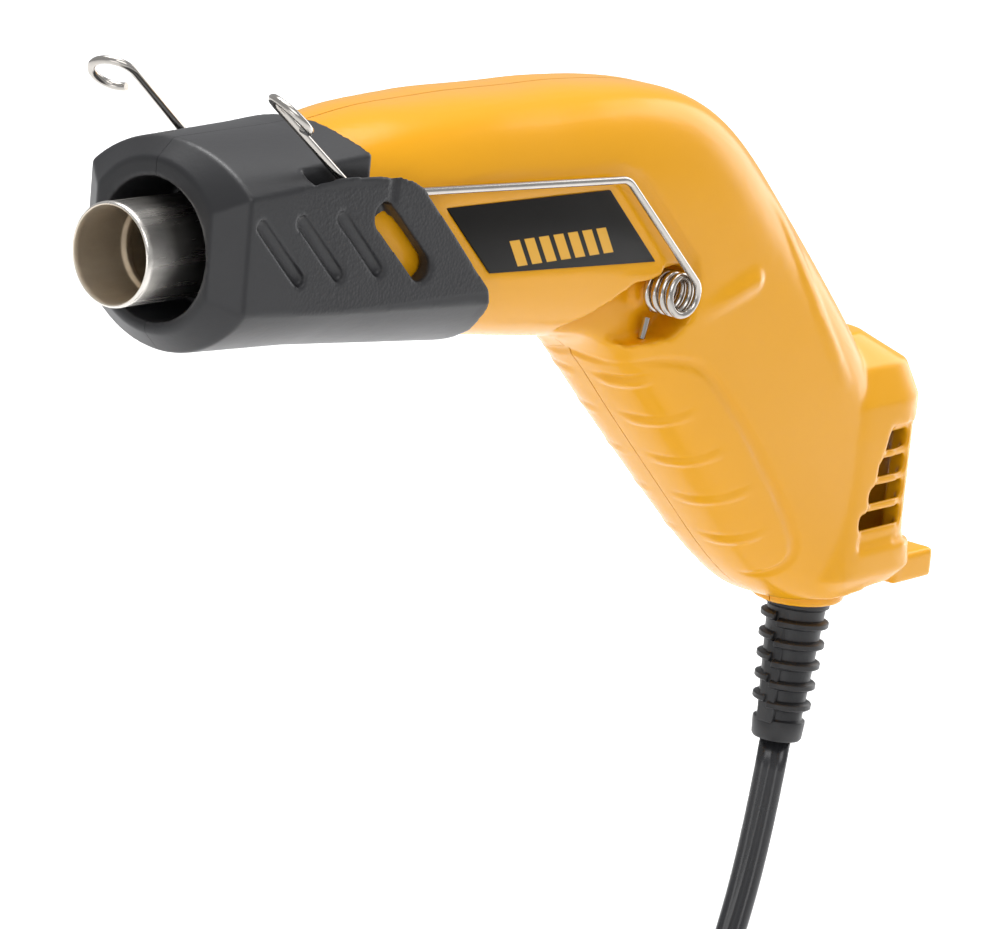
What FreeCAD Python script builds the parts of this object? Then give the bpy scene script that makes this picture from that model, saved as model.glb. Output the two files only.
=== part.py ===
import FreeCAD, Part
import math
import os

import Sketcher

# Small dual-heat craft heat gun with a fold-out wire stand.
# Frame: origin at the centre of the nozzle's mouth, +X out of the nozzle, +Z up,
# +Y to the tool's left side.  The housings and the nose split on the plane Y = 0.

doc = FreeCAD.newDocument("HeatGun")
Vec = FreeCAD.Vector
X_AXIS = Vec(1, 0, 0)
Y_AXIS = Vec(0, 1, 0)
Z_AXIS = Vec(0, 0, 1)

# ---------------------------------------------------------------- driving dimensions (mm)
SIZES = [
    ("nozzle_rad", 9.5, "outside radius of the nozzle tube"),
    ("nozzle_wall", 0.7, "wall of the nozzle tube"),
    ("nozzle_reach", 22, "length of the nozzle at its mouth radius"),
    ("tube_rad", 10.2, "outside radius of the tube behind the bead"),
    ("tube_end", 78, "depth of the tube's rear end"),
    ("mouth_rad", 13.1, "radius of the opening in the nose"),
    ("mouth_floor", 27, "depth of the floor of the nose's opening"),
    ("wall", 2.2, "wall of the moulded housings"),
    ("barrel_start", 32, "depth of the housing's front end, inside the nose"),
    ("side_flat", 17.9, "half width of the flat beside the label"),
    ("label_thick", 0.5, "thickness of the side labels"),
    ("wire_rad", 0.8, "radius of the stand wire"),
    ("coil_rad", 3.9, "centre-line radius of the stand's coils"),
    ("coil_pitch", 1.9, "pitch of the stand's coils"),
    ("coil_turns", 4, "turns in each stand coil"),
    ("coil_out", 20.8, "half distance between the outer turns of the coils"),
    ("pivot_x", 143.8, "depth of the stand's pivot"),
    ("pivot_drop", 18.2, "drop of the stand's pivot below the nozzle axis"),
    ("loop_rad", 4.35, "centre-line radius of the stand's foot loops"),
    ("post_rad", 2.8, "radius of the posts inside the coils"),
    ("fan_rad", 13.5, "radius of the impeller"),
    ("fan_depth", 9, "depth of the impeller"),
    ("motor_rad", 9.8, "radius of the motor"),
    ("motor_long", 25, "length of the motor can"),
    ("shaft_rad", 1.0, "radius of the motor shaft"),
    ("shaft_gap", 0.05, "radial clearance round the motor shaft"),
    ("knob_long", 13, "length of the switch knob"),
    ("knob_wide", 6.4, "width of the switch knob"),
    ("screw_rad", 1.4, "radius of the housing screws"),
    ("screw_head", 2.7, "radius of the screw heads"),
    ("cord_wide", 7.0, "width of the flat twin cord"),
    ("cord_thick", 3.6, "thickness of the flat twin cord"),
    ("relief_top", 7.0, "radius of the strain relief at the housing"),
    ("relief_tip", 5.3, "radius of the strain relief at its tip"),
    ("relief_long", 32, "length of the strain relief outside the housing"),
    ("coil_mid", 39, "radius of the stored cord coil at the middle of its turns"),
    ("coil_band", 21, "width of the stored cord coil's band of turns"),
    ("coil_high", 11.5, "height of the stored cord coil"),
    ("floor_drop", 255, "drop of the surface under the stored cord"),
    ("blade_gap", 12.7, "distance between the centres of the plug's blades"),
]

sheet = doc.addObject("Spreadsheet::Sheet", "Sizes")
for row, (alias, value, meaning) in enumerate(SIZES, start=1):
    sheet.set("A%d" % row, alias)
    sheet.set("B%d" % row, str(value))
    sheet.set("C%d" % row, meaning)
    sheet.setAlias("B%d" % row, alias)
doc.recompute()


def size(alias):
    """A driving dimension, read from the sheet."""
    return float(getattr(sheet, alias))


# ---------------------------------------------------------------- small helpers
NODES = []


def node(item, label):
    """Names a finished sub-part; its label is the name of its file."""
    item.Label = label
    NODES.append(item)
    return item


def bind(item, **formulas):
    """Binds properties of an object to cells of the sheet."""
    for prop, formula in formulas.items():
        item.setExpression(prop, formula)
    return item


def free_part(label, shape):
    """A sub-part whose free-form shape no feature can make."""
    item = doc.addObject("Part::Feature", label)
    item.Shape = shape
    return node(item, label)


def cylinder(name, radius, height, base, axis):
    """A Part cylinder with its radius and height bound to formulas."""
    item = doc.addObject("Part::Cylinder", name)
    bind(item, Radius=radius, Height=height)
    item.Placement = FreeCAD.Placement(base, FreeCAD.Rotation(Z_AXIS, axis))
    return item


def box(name, long, wide, high, corner, turn=None):
    """A Part box with its three sides bound to formulas."""
    item = doc.addObject("Part::Box", name)
    bind(item, Length=long, Width=wide, Height=high)
    item.Placement = FreeCAD.Placement(corner, turn or FreeCAD.Rotation())
    return item


def joined(name, items):
    fuse = doc.addObject("Part::MultiFuse", name)
    fuse.Shapes = items
    return fuse


def cut(name, base, tool):
    item = doc.addObject("Part::Cut", name)
    item.Base = base
    item.Tool = tool
    return item


def plane_of(body, role):
    for feature in body.Origin.OriginFeatures:
        if feature.Role == role:
            return feature
    raise ValueError(role)


def turned(label, rings):
    """A body of revolution about X.  Each ring is (inner radius, outer radius, low x, high x)."""
    body = doc.addObject("PartDesign::Body", label + "_body")
    for count, ring_sizes in enumerate(rings):
        sketch = body.newObject("Sketcher::SketchObject", "%s_ring_%d" % (label, count))
        sketch.AttachmentSupport = (plane_of(body, "XZ_Plane"), [""])
        sketch.MapMode = "FlatFace"
        corners = [Vec(-20, 5, 0), Vec(-10, 5, 0), Vec(-10, 8, 0), Vec(-20, 8, 0)]
        for side in range(4):
            sketch.addGeometry(Part.LineSegment(corners[side], corners[(side + 1) % 4]), False)
        for side in range(4):
            sketch.addConstraint(Sketcher.Constraint("Coincident", side, 2, (side + 1) % 4, 1))
        for side, kind in ((0, "Horizontal"), (2, "Horizontal"), (1, "Vertical"), (3, "Vertical")):
            sketch.addConstraint(Sketcher.Constraint(kind, side))
        measures = (("DistanceY", 0, 1), ("DistanceY", 2, 1), ("DistanceX", 0, 1), ("DistanceX", 1, 1))
        for name, (kind, edge, end), formula in zip(
                ("inner", "outer", "low", "high"), measures, ring_sizes):
            start = getattr(corners[edge], "y" if kind == "DistanceY" else "x")
            index = sketch.addConstraint(Sketcher.Constraint(kind, -1, 1, edge, end, start))
            sketch.renameConstraint(index, name)
            sketch.setExpression("Constraints." + name, formula)
        doc.recompute()
        turn = body.newObject("PartDesign::Revolution", "%s_turn_%d" % (label, count))
        turn.Profile = sketch
        turn.ReferenceAxis = (sketch, ["H_Axis"])
        turn.Angle = 360
        doc.recompute()
    return node(body, label)


def prism(points, low_y, high_y):
    """A solid between two planes of constant Y, from an outline of (x, z) points."""
    corners = [Vec(x, low_y, z) for x, z in points]
    face = Part.Face(Part.makePolygon(corners + corners[:1]))
    return face.extrude(Vec(0, high_y - low_y, 0))


def stadium(start, end, radius, low_y, high_y):
    """A long round-ended slot's solid, from one end centre to the other, both (x, z)."""
    ends = [Vec(start[0], low_y, start[1]), Vec(end[0], low_y, end[1])]
    along = ends[1] - ends[0]
    side = along.cross(Y_AXIS).normalize() * radius
    middle = Part.Face(Part.makePolygon([ends[0] + side, ends[1] + side, ends[1] - side,
                                         ends[0] - side, ends[0] + side]))
    solid = middle.extrude(Vec(0, high_y - low_y, 0))
    for centre in ends:
        solid = solid.fuse(Part.makeCylinder(radius, high_y - low_y, centre, Y_AXIS))
    return solid.removeSplitter()


def rounded_route(points, bend=None):
    """Straight runs joined by tangent arcs: of one bend radius, or each as large as its runs allow."""
    edges = []
    radii = []
    last = points[0]
    for before, corner, after in zip(points, points[1:], points[2:]):
        inward = (corner - before).normalize()
        outward = (after - corner).normalize()
        turn = inward.getAngle(outward)
        reach = 0.45 * min(corner.distanceToPoint(before), after.distanceToPoint(corner))
        if bend:
            reach = bend * math.tan(turn / 2)
        first = corner - inward * reach
        third = corner + outward * reach
        radius = reach / math.tan(turn / 2)
        radii.append(radius)
        bisector = (outward - inward).normalize()
        second = corner + bisector * (radius / math.cos(turn / 2) - radius)
        edges.append(Part.LineSegment(last, first).toShape())
        edges.append(Part.Arc(first, second, third).toShape())
        last = third
    edges.append(Part.LineSegment(last, points[-1]).toShape())
    return Part.Wire(edges), radii


def round_tube(path, radius):
    """A solid of round section along a path."""
    start = path.Edges[0]
    first = start.valueAt(start.FirstParameter)
    along = start.tangentAt(start.FirstParameter)
    ring = Part.Wire(Part.Circle(first, along, radius).toShape())
    return path.makePipeShell([ring], True, False)


# ---------------------------------------------------------------- the moulded body's outer form
SECTION_POINTS = 32
LOFT_DEGREE = 3


def section(front, back, half_width, middle=0.5, front_power=2.4, back_power=2.4):
    """A closed rounded outline in the plane through Y and the line from front to back.

    front and back are (x, z) on the split plane; middle is where along that line
    the outline is widest; the powers say how square its two ends are.
    """
    depth = math.hypot(back[0] - front[0], back[1] - front[1])
    toward = ((back[0] - front[0]) / depth, (back[1] - front[1]) / depth)
    points = []
    for step in range(SECTION_POINTS):
        angle = 2 * math.pi * step / SECTION_POINTS - math.pi / 2
        sine = math.sin(angle)
        cosine = math.cos(angle)
        power, half_depth = (front_power, middle * depth) if sine < 0 else (back_power, (1 - middle) * depth)
        across = half_width * math.copysign(abs(cosine) ** (2 / power), cosine)
        along = middle * depth + half_depth * math.copysign(abs(sine) ** (2 / power), sine)
        points.append(Vec(front[0] + toward[0] * along, across, front[1] + toward[1] * along))
    curve = Part.BSplineCurve()
    curve.interpolate(Points=points, PeriodicFlag=True)
    return Part.Wire(curve.toShape())


# front or underside point, back or top point, half width, widest place, front and back powers
BODY_SECTIONS = [
    ((-32, -17.2), (-32, 17.2), 16.6, 0.50, 2.2, 2.2),
    ((-60, -21.0), (-60, 22.3), 18.2, 0.50, 2.5, 2.6),
    ((-95, -24.1), (-95, 23.3), 18.5, 0.50, 2.7, 3.2),
    ((-121, -27.2), (-127, 23.4), 18.6, 0.50, 2.7, 3.2),
    ((-132.6, -31.3), (-157.2, 19.1), 18.8, 0.48, 2.8, 3.3),
    ((-144.5, -42.0), (-180, 3.8), 18.8, 0.48, 2.8, 3.1),
    ((-163.5, -60.2), (-200.5, -16.7), 18.9, 0.50, 2.7, 3.3),
    ((-184.1, -79.4), (-219.7, -38.5), 18.9, 0.55, 2.5, 3.6),
    ((-200.2, -91.3), (-231.4, -61.7), 18.7, 0.60, 2.5, 2.9),
    ((-211, -94.4), (-236, -90.0), 17.6, 0.60, 3.0, 3.0),
]

# the air intake's hump: height, front x, back x, half width, squareness
HUMP_SECTIONS = [
    (-36.6, -205, -228.4, 9.2, 3.2),
    (-42.7, -205, -238.2, 16.2, 4.2),
    (-50.3, -205, -240.8, 18.8, 4.5),
    (-57.3, -205, -240.0, 19.1, 4.4),
    (-73.8, -206, -240.6, 19.3, 4.5),
    (-88.5, -208, -242.4, 19.3, 5.0),
    (-91.9, -210, -239.5, 17.0, 4.0),
]


def body_form(inset):
    """The main form from the barrel to the butt, drawn in by inset on every side."""
    wires = []
    for index, (front, back, half_width, middle, power_f, power_b) in enumerate(BODY_SECTIONS):
        depth = math.hypot(back[0] - front[0], back[1] - front[1])
        step = ((back[0] - front[0]) / depth * inset, (back[1] - front[1]) / depth * inset)
        new_front = (front[0] + step[0], front[1] + step[1])
        new_back = (back[0] - step[0], back[1] - step[1])
        if index == len(BODY_SECTIONS) - 1:
            new_front = (new_front[0], new_front[1] + inset)
            new_back = (new_back[0], new_back[1] + inset)
        wires.append(section(new_front, new_back, half_width - inset, middle, power_f, power_b))
    return Part.makeLoft(wires, True, False, False, LOFT_DEGREE)


def hump_form(inset):
    """The hump behind the butt, which holds the intake and the fan."""
    wires = []
    for index, (height, front_x, back_x, half_width, power) in enumerate(HUMP_SECTIONS):
        rise = inset if index == len(HUMP_SECTIONS) - 1 else (-inset if index < 3 else 0)
        wires.append(section((front_x - inset, height + rise), (back_x + inset, height + rise),
                             half_width - inset, 0.5, power, power))
    return Part.makeLoft(wires, True, True)


# ---------------------------------------------------------------- places that several parts share
PIVOT = (-size("pivot_x"), -size("pivot_drop"))
SLIDE_START = Vec(-181, 0, 0.5)
SLIDE_END = Vec(-199.5, 0, -19)
SLIDE_AXIS = (SLIDE_END - SLIDE_START).normalize()
SLIDE_OUT = Vec(SLIDE_AXIS.z, 0, -SLIDE_AXIS.x)
SLIDE_TURN = FreeCAD.Rotation(SLIDE_AXIS, SLIDE_OUT, Y_AXIS, "XYZ")
KNOB_TRAVEL = 8.0
FAN_CENTRE = Vec(-213, 0, -66)
FAN_AXIS = Vec(0.707, 0, 0.707).normalize()
CORD_EXIT = Vec(-224.4, 0, -98.4)
RELIEF_AXIS = Vec(0.083, 0, -1).normalize()
# each screw's place, and how far its boss reaches to either side
SCREWS = [(-95, -18.0), (-92, 16.5), (-133, 12.5), (-177, -37.0), (-204.5, -88.5)]
BOSS_RAD = 3.3

# the pocket round each stand coil, open to the side and to the underside of the barrel
POCKET = [(-114.5, -23.6), (-121, -20.6), (-131.0, -14.9), (-137.5, -14.3), (-140.2, -12.9), (-144.0, -12.4),
          (-148.2, -13.6), (-150.2, -17.8), (-150.0, -23.6), (-146, -27.4), (-137, -29.0), (-126, -27.4)]
POCKET_DEEP = 10.5
POCKET_WALL = 1.4
POST_LONG = 6.5
# the flat sunk into the barrel's side for the label and the stand wire
SIDE_PANEL = [(-50, 12.6), (-121, 10.4), (-129.5, 7.4), (-149.5, -11.4), (-151.5, -17.5), (-150.5, -24.5),
              (-141, -18), (-138.5, -13.2), (-84, -10.2), (-50, -9.2)]
LABEL = [(-70.4, 5.6), (-119.6, 4.9), (-136.4, -10.9), (-84.8, -8.2)]
LABEL_MARGIN = 1.2
LABEL_SINK = 0.4
# side view of the nozzle end's rear edge, from the side panel's top to the underside
NOSE_REAR = [(-59.5, 11.2), (-81.0, -11.0), (-83.0, -15.0), (-86, -30), (-130, -30), (-130, 60), (-59.5, 60)]
# plan of the cap's rear edge: half width, depth; and the top of the nose's sides behind it
CAP_REAR = [(0, 47.6), (10, 48.0), (17.9, 49.4)]
CAP_SIDE_TOP = 9.0


# the block at the butt's heel that the tool stands on: its sides, its rear face's depth and its base's height
FOOT_BLOCK = (14.5, 31.0, 6.6)
FOOT_REACH = 252.5
FOOT_BASE = -93.8


# ---------------------------------------------------------------- housing halves
def mirrored_pair(shapes):
    """The shapes of the left side together with the same ones on the right."""
    return shapes + [shape.mirror(Vec(0, 0, 0), Y_AXIS) for shape in shapes]


def grown(points, margin):
    """An outline pushed outwards from its middle by a margin."""
    centre_x = sum(x for x, z in points) / len(points)
    centre_z = sum(z for x, z in points) / len(points)
    bigger = []
    for x, z in points:
        reach = math.hypot(x - centre_x, z - centre_z)
        bigger.append((x + (x - centre_x) / reach * margin, z + (z - centre_z) / reach * margin))
    return bigger


# the sunk panel that the louvres lie in, and how far it is sunk
LOUVRE_PANEL = [(-226.0, -55.6), (-217.0, -80.6), (-217.6, -82.6), (-260, -82.6), (-260, -55.6)]
LOUVRE_SINK = 1.1
LOUVRE_INNER_Y = 12.5


def intake_slots():
    """The louvre openings through the left side and rear corner of the hump."""
    rows = 4
    top = -57.5
    pitch = 5.6
    gap = 3.6
    slots = []
    for row in range(rows):
        high = top - row * pitch
        reach = 225.0 - 2.7 * row
        slots.append(Part.makeBox(30, 14, gap, Vec(-reach - 30, LOUVRE_INNER_Y, high - gap)))
    return slots


def knob_slot():
    """The opening along the back of the grip that the switch knob slides in."""
    slot = Part.makeBox(KNOB_TRAVEL + size("knob_long") + 1.0, 12, size("knob_wide") + 0.8)
    start = SLIDE_START - SLIDE_AXIS * 0.5 - Y_AXIS * (size("knob_wide") / 2 + 0.4) - SLIDE_OUT * 6
    slot.Placement = FreeCAD.Placement(start, SLIDE_TURN)
    return slot


def housing():
    """Both halves of the moulded body in one, before it is split."""
    outer = body_form(0).fuse(hump_form(0))
    inner = body_form(size("wall")).fuse(hump_form(size("wall")))
    pocket = prism(POCKET, POCKET_DEEP, 40)
    pocket_walls = prism(grown(POCKET, POCKET_WALL), POCKET_DEEP - POCKET_WALL, 40)
    side_panel = prism(SIDE_PANEL, size("side_flat"), 40)
    post_start = Vec(PIVOT[0], POCKET_DEEP - 1, PIVOT[1])
    post = Part.makeCylinder(size("post_rad"), POST_LONG, post_start, Y_AXIS)
    step = Part.makeCylinder(size("coil_rad") + 0.7, 2.0, post_start, Y_AXIS)
    collar = Part.makeCone(11.2, 10.2, 6.8, Vec(-223.8, 0, -91.0), -Z_AXIS)
    foot = Part.makeBox(*FOOT_BLOCK, Vec(-FOOT_REACH, -FOOT_BLOCK[1] / 2, FOOT_BASE))
    start = size("barrel_start")
    bore = Part.makeCylinder(size("tube_rad") + 2.4, 30, Vec(-start - 20, 0, 0), X_AXIS)
    gland = Part.makeCylinder(size("relief_top") - 1.6, 16, CORD_EXIT - RELIEF_AXIS * 10, RELIEF_AXIS)
    flange_room = Part.makeCylinder(size("relief_top") + 1, 10, CORD_EXIT - RELIEF_AXIS * 17, RELIEF_AXIS)
    label_room = prism(grown(LABEL, LABEL_MARGIN), size("side_flat") - LABEL_SINK, 40)
    louvre_room = prism(LOUVRE_PANEL, LOUVRE_INNER_Y, 40).cut(hump_form(LOUVRE_SINK))
    hollow = inner.cut(mirrored_pair([pocket_walls]))
    outer = outer.cut(mirrored_pair([pocket, side_panel, label_room, louvre_room]))
    outer = outer.fuse([collar, foot] + mirrored_pair([post, step]))
    shell = outer.cut([hollow, bore, knob_slot(), gland, flange_room] + mirrored_pair(intake_slots()))
    bosses = [Part.makeCylinder(BOSS_RAD, 36, Vec(x, -18, z), Y_AXIS) for x, z in SCREWS]
    kept = body_form(size("wall") / 2)
    return shell.fuse([boss.common(kept) for boss in bosses])


def half(shape, side):
    """The part of a shape on one side of the split plane."""
    return shape.common(Part.makeBox(400, 100, 300, Vec(-350, 0 if side > 0 else -100, -200)))


def largest(shape):
    """The one big solid of a boolean's result, with slivers left out."""
    return max(shape.Solids, key=lambda solid: solid.Volume)


whole_housing = housing()
THREAD_REACH = 10
left_threads = [Part.makeCylinder(size("screw_rad"), THREAD_REACH, Vec(x, -0.5, z), Y_AXIS) for x, z in SCREWS]
right_holes = [Part.makeCylinder(size("screw_rad") + 0.3, 40, Vec(x, -30, z), Y_AXIS) for x, z in SCREWS]
right_holes += [Part.makeCylinder(size("screw_head") + 0.3, 30, Vec(x, -36.5, z), Y_AXIS) for x, z in SCREWS]
free_part("housing_left", largest(half(whole_housing, 1).cut(left_threads)))
free_part("housing_right", largest(half(whole_housing, -1).cut(right_holes)))


# ---------------------------------------------------------------- housing screws
screw_items = []
for number, (x, z) in enumerate(SCREWS):
    shank = cylinder("screw_shank_%d" % number, "Sizes.screw_rad", "14.5", Vec(x, -6.5, z), Y_AXIS)
    head = cylinder("screw_head_%d" % number, "Sizes.screw_head", "2", Vec(x, -8.5, z), Y_AXIS)
    screw_items.append(joined("screw_%d" % number, [shank, head]))
node(joined("screws", screw_items), "housing_screws")


# ---------------------------------------------------------------- nose shroud
# half width, height of the upper and lower corners, height of the crown and of the belly
NOSE_SECTIONS = [
    (-10.4, 14.1, 9.0, -6.5, 16.6, -15.0),
    (-14.5, 19.8, 12.4, -8.8, 20.1, -19.0),
    (-40.0, 20.7, 14.6, -10.6, 20.8, -20.2),
    (-92.0, 22.6, 15.6, -13.2, 24.8, -24.9),
]


# half widths of the stand wire's room in the nose: its inner side at the front, and its outer sides
WIRE_ROOM_INNER = 17.0
WIRE_ROOM_FRONT = 20.0
WIRE_ROOM_REAR = 20.7


def nose_section(x, half_width, upper, lower, crown, belly):
    """A flat-sided outline with a domed top and bottom, across the barrel."""
    corners = [Vec(x, half_width, lower), Vec(x, half_width, upper),
               Vec(x, -half_width, upper), Vec(x, -half_width, lower)]
    edges = [
        Part.LineSegment(corners[0], corners[1]).toShape(),
        Part.Arc(corners[1], Vec(x, 0, crown), corners[2]).toShape(),
        Part.LineSegment(corners[2], corners[3]).toShape(),
        Part.Arc(corners[3], Vec(x, 0, belly), corners[0]).toShape(),
    ]
    return Part.Wire(edges)


def nose():
    """Both halves of the nose in one: a shroud round the nozzle and the barrel's front."""
    outer = Part.makeLoft([nose_section(*row) for row in NOSE_SECTIONS], True, True)
    mouth = Part.makeCylinder(size("mouth_rad"), 40, Vec(-size("mouth_floor"), 0, 0), X_AXIS)
    tube_hole = Part.makeCylinder(size("tube_rad"), 60, Vec(-60, 0, 0), X_AXIS)
    # the room the stand wire lies in and swings up out of
    front_room = [(-22.5, 40), (-31, 11.5), (-31, 9.0), (-50, 9.0), (-50, 40)]
    rear_room = [(-50, 9.0), (-50, 40), (-100, 40), (-100, 6.4)]
    wire_room = prism(front_room, WIRE_ROOM_INNER, WIRE_ROOM_FRONT)
    wire_room = wire_room.fuse(prism(rear_room, size("side_flat"), WIRE_ROOM_REAR))
    lip = prism([(-31, 15.2), (-53, 13.6), (-57, 12.4), (-60, 10.8), (-64, 60), (-31, 60)], 20.0, 40)
    rear = prism(NOSE_REAR, -60, 60)
    cap_edge = [Vec(-depth, width, CAP_SIDE_TOP) for width, depth in CAP_REAR]
    cap_edge = [Vec(corner.x, -corner.y, corner.z) for corner in reversed(cap_edge[1:])] + cap_edge
    cap_side = CAP_REAR[-1][0]
    cap_edge = [Vec(-130, -cap_side, CAP_SIDE_TOP)] + cap_edge + [Vec(-130, cap_side, CAP_SIDE_TOP)]
    cap_room = Part.Face(Part.makePolygon(cap_edge + cap_edge[:1])).extrude(Vec(0, 0, 40))
    grooves = []
    for x in (-17.7, -27.9, -38.3):
        grooves.append(stadium((x, 7.2), (x - 10.6, -3.4), 1.3, panel_face(x) - 0.9, 40))
    window = stadium((-49.6, 6.4), (-60.4, -4.0), 2.7, size("side_flat") - 0.1, 40)
    cutters = [mouth, tube_hole, rear, body_form(0), cap_room]
    for cutter in cutters + mirrored_pair([wire_room, lip, window] + grooves):
        outer = outer.cut(cutter)
    return outer


def panel_face(x):
    """Half width of the nose's side at a depth."""
    front, rear = NOSE_SECTIONS[2], NOSE_SECTIONS[3]
    return front[1] + (rear[1] - front[1]) * (x - front[0]) / (rear[0] - front[0])


whole_nose = nose()
free_part("nose_left", largest(half(whole_nose, 1)))
free_part("nose_right", largest(half(whole_nose, -1)))


# ---------------------------------------------------------------- labels
label_left = prism(LABEL, size("side_flat") - LABEL_SINK, size("side_flat") - LABEL_SINK + size("label_thick"))
free_part("label_left", label_left)
free_part("label_right", label_left.mirror(Vec(0, 0, 0), Y_AXIS))


# ---------------------------------------------------------------- nozzle and heater
turned("nozzle_tube", [
    ("Sizes.nozzle_rad - Sizes.nozzle_wall", "Sizes.nozzle_rad", "-Sizes.nozzle_reach", "0"),
    ("Sizes.nozzle_rad - Sizes.nozzle_wall", "Sizes.tube_rad", "-Sizes.nozzle_reach - 2",
     "-Sizes.nozzle_reach"),
    ("Sizes.tube_rad - Sizes.nozzle_wall", "Sizes.tube_rad", "-Sizes.tube_end", "-Sizes.nozzle_reach - 2"),
])
turned("mica_lining", [
    ("Sizes.tube_rad - Sizes.nozzle_wall - 0.6", "Sizes.tube_rad - Sizes.nozzle_wall",
     "-Sizes.tube_end + 1", "-Sizes.nozzle_reach - 3"),
])
BOARD_THICK = "0.8"
BOARD_RAD = 7.6
board_long = "Sizes.tube_end - Sizes.nozzle_reach - 6"
level_board = box("level_board", board_long, "15.2", BOARD_THICK, Vec(-77, -BOARD_RAD, -0.4))
upright_board = box("upright_board", board_long, BOARD_THICK, "15.2", Vec(-77, -0.4, -BOARD_RAD))
node(joined("heater_cross", [level_board, upright_board]), "heater_boards")

winding = []
for turn in range(12):
    ring = doc.addObject("Part::Torus", "winding_%d" % turn)
    ring.Radius1 = BOARD_RAD + 0.5
    ring.Radius2 = 0.4
    ring.Placement = FreeCAD.Placement(Vec(-33 - 3.5 * turn, 0, 0), FreeCAD.Rotation(Z_AXIS, X_AXIS))
    winding.append(ring)
winding_group = doc.addObject("Part::Compound", "winding")
winding_group.Links = winding
node(winding_group, "heating_coil")

cutoff = cylinder("cutoff", "1.8", "9", Vec(-70, 3.2, 2.3), X_AXIS)
node(cutoff, "thermal_cutoff")

turned("tube_collar", [
    ("Sizes.tube_rad", "Sizes.tube_rad + 2.4", "-50", "-46"),
])


# ---------------------------------------------------------------- fan and motor
def on_fan_axis(item, along):
    """Places an upright item on the fan's axis, this far from the impeller's centre."""
    item.Placement = FreeCAD.Placement(FAN_CENTRE + FAN_AXIS * along, FreeCAD.Rotation(Z_AXIS, FAN_AXIS))
    return item


hub = cylinder("fan_hub", "4", "Sizes.fan_depth", Vec(0, 0, 0), Z_AXIS)
backplate = cylinder("fan_plate", "Sizes.fan_rad", "1", Vec(0, 0, 0), Z_AXIS)
blades = []
BLADES = 9
for number in range(BLADES):
    angle = 360 * number / BLADES
    turn = FreeCAD.Rotation(Z_AXIS, angle)
    corner = turn.multVec(Vec(3.4, -0.5, 0.5))
    lean = turn.multiply(FreeCAD.Rotation(Z_AXIS, 24))
    blades.append(box("blade_%d" % number, "Sizes.fan_rad - 4.4", "1", "Sizes.fan_depth - 0.5",
                      corner, lean))
wheel = joined("fan_wheel", [hub, backplate] + blades)
shaft = cylinder("motor_shaft_rod", "Sizes.shaft_rad", "Sizes.motor_long + Sizes.fan_depth + 3",
                 Vec(0, 0, 0), Z_AXIS)
drilled = cut("fan_drilled", wheel, cylinder("fan_bore", "Sizes.shaft_rad", "40", Vec(0, 0, -5), Z_AXIS))
node(on_fan_axis(drilled, -4.5), "impeller")
node(on_fan_axis(shaft, -4.5), "motor_shaft")

can = cylinder("motor_can", "Sizes.motor_rad", "Sizes.motor_long", Vec(0, 0, 0), Z_AXIS)
nosing = cylinder("motor_nosing", "3.2", "2", Vec(0, 0, -2), Z_AXIS)
motor_whole = joined("motor_whole", [can, nosing])
motor_bore = cylinder("motor_bore", "Sizes.shaft_rad + Sizes.shaft_gap", "60", Vec(0, 0, -10), Z_AXIS)
node(on_fan_axis(cut("motor_drilled", motor_whole, motor_bore), 7.5), "fan_motor")
ring_outer = cylinder("ring_outer", "Sizes.motor_rad + 3.2", "5", Vec(0, 0, 0), Z_AXIS)
ring_bore = cylinder("ring_bore", "Sizes.motor_rad", "20", Vec(0, 0, -5), Z_AXIS)
node(on_fan_axis(cut("ring_drilled", ring_outer, ring_bore), 16), "motor_ring")


# ---------------------------------------------------------------- switch, board and leads
def on_slide(item, along, across, out):
    """Places a box on the back of the grip: along the slide, across Y, and out of the back."""
    base = SLIDE_START + SLIDE_AXIS * along + Y_AXIS * across + SLIDE_OUT * out
    item.Placement = FreeCAD.Placement(base, SLIDE_TURN)
    return item


knob_top = box("knob_top", "Sizes.knob_long", "5.4", "Sizes.knob_wide", Vec(0, 0, 0))
on_slide(knob_top, KNOB_TRAVEL, -size("knob_wide") / 2, -3.0)
knob_stem = box("knob_stem", "3", "2.4", "3", Vec(0, 0, 0))
on_slide(knob_stem, KNOB_TRAVEL + 5, -1.5, -5.2)
node(joined("knob", [knob_top, knob_stem]), "switch_knob")

switch_case = box("switch_case", "26", "7", "12", Vec(0, 0, 0))
on_slide(switch_case, -1.5, -6, -10.8)
stem_room = box("stem_room", "Sizes.knob_long + 1", "6", "4", Vec(0, 0, 0))
on_slide(stem_room, 3.5, -2, -7.5)
node(cut("switch_hollow", switch_case, stem_room), "switch_body")

board = box("board_plate", "24", "16", "1.6", Vec(-128, -8, 8))
diodes = [box("diode_%d" % number, "5", "2.4", "2.6", Vec(-125 + 9 * (number % 2), -5 + 7 * (number // 2), 9.6))
          for number in range(4)]
node(joined("board_parts", [board] + diodes), "rectifier_board")

LEAD_RAD = 1.0
lead_route = [(-223.5, -87.6), (-212.0, -84.5), (-196.5, -78.0), (-181.5, -64.0), (-168.0, -48.5),
              (-163.5, -34.0), (-169.0, -20.5), (-179.0, -13.5)]
leads = []
for across in (-2.6, 2.6):
    path, _ = rounded_route([Vec(x, across, z) for x, z in lead_route])
    leads.append(round_tube(path, LEAD_RAD))
free_part("supply_leads", Part.makeCompound(leads))

clamp = box("clamp_bar", "5", "16", "3.4", Vec(-232, -8, -88.4))
node(clamp, "cord_clamp")


# ---------------------------------------------------------------- wire stand
def on_coil(angle, across):
    """A point on the coil's centre line; the angle runs from +X towards +Z."""
    reach = size("coil_rad")
    return Vec(PIVOT[0] + reach * math.cos(angle), across, PIVOT[1] + reach * math.sin(angle))


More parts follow.
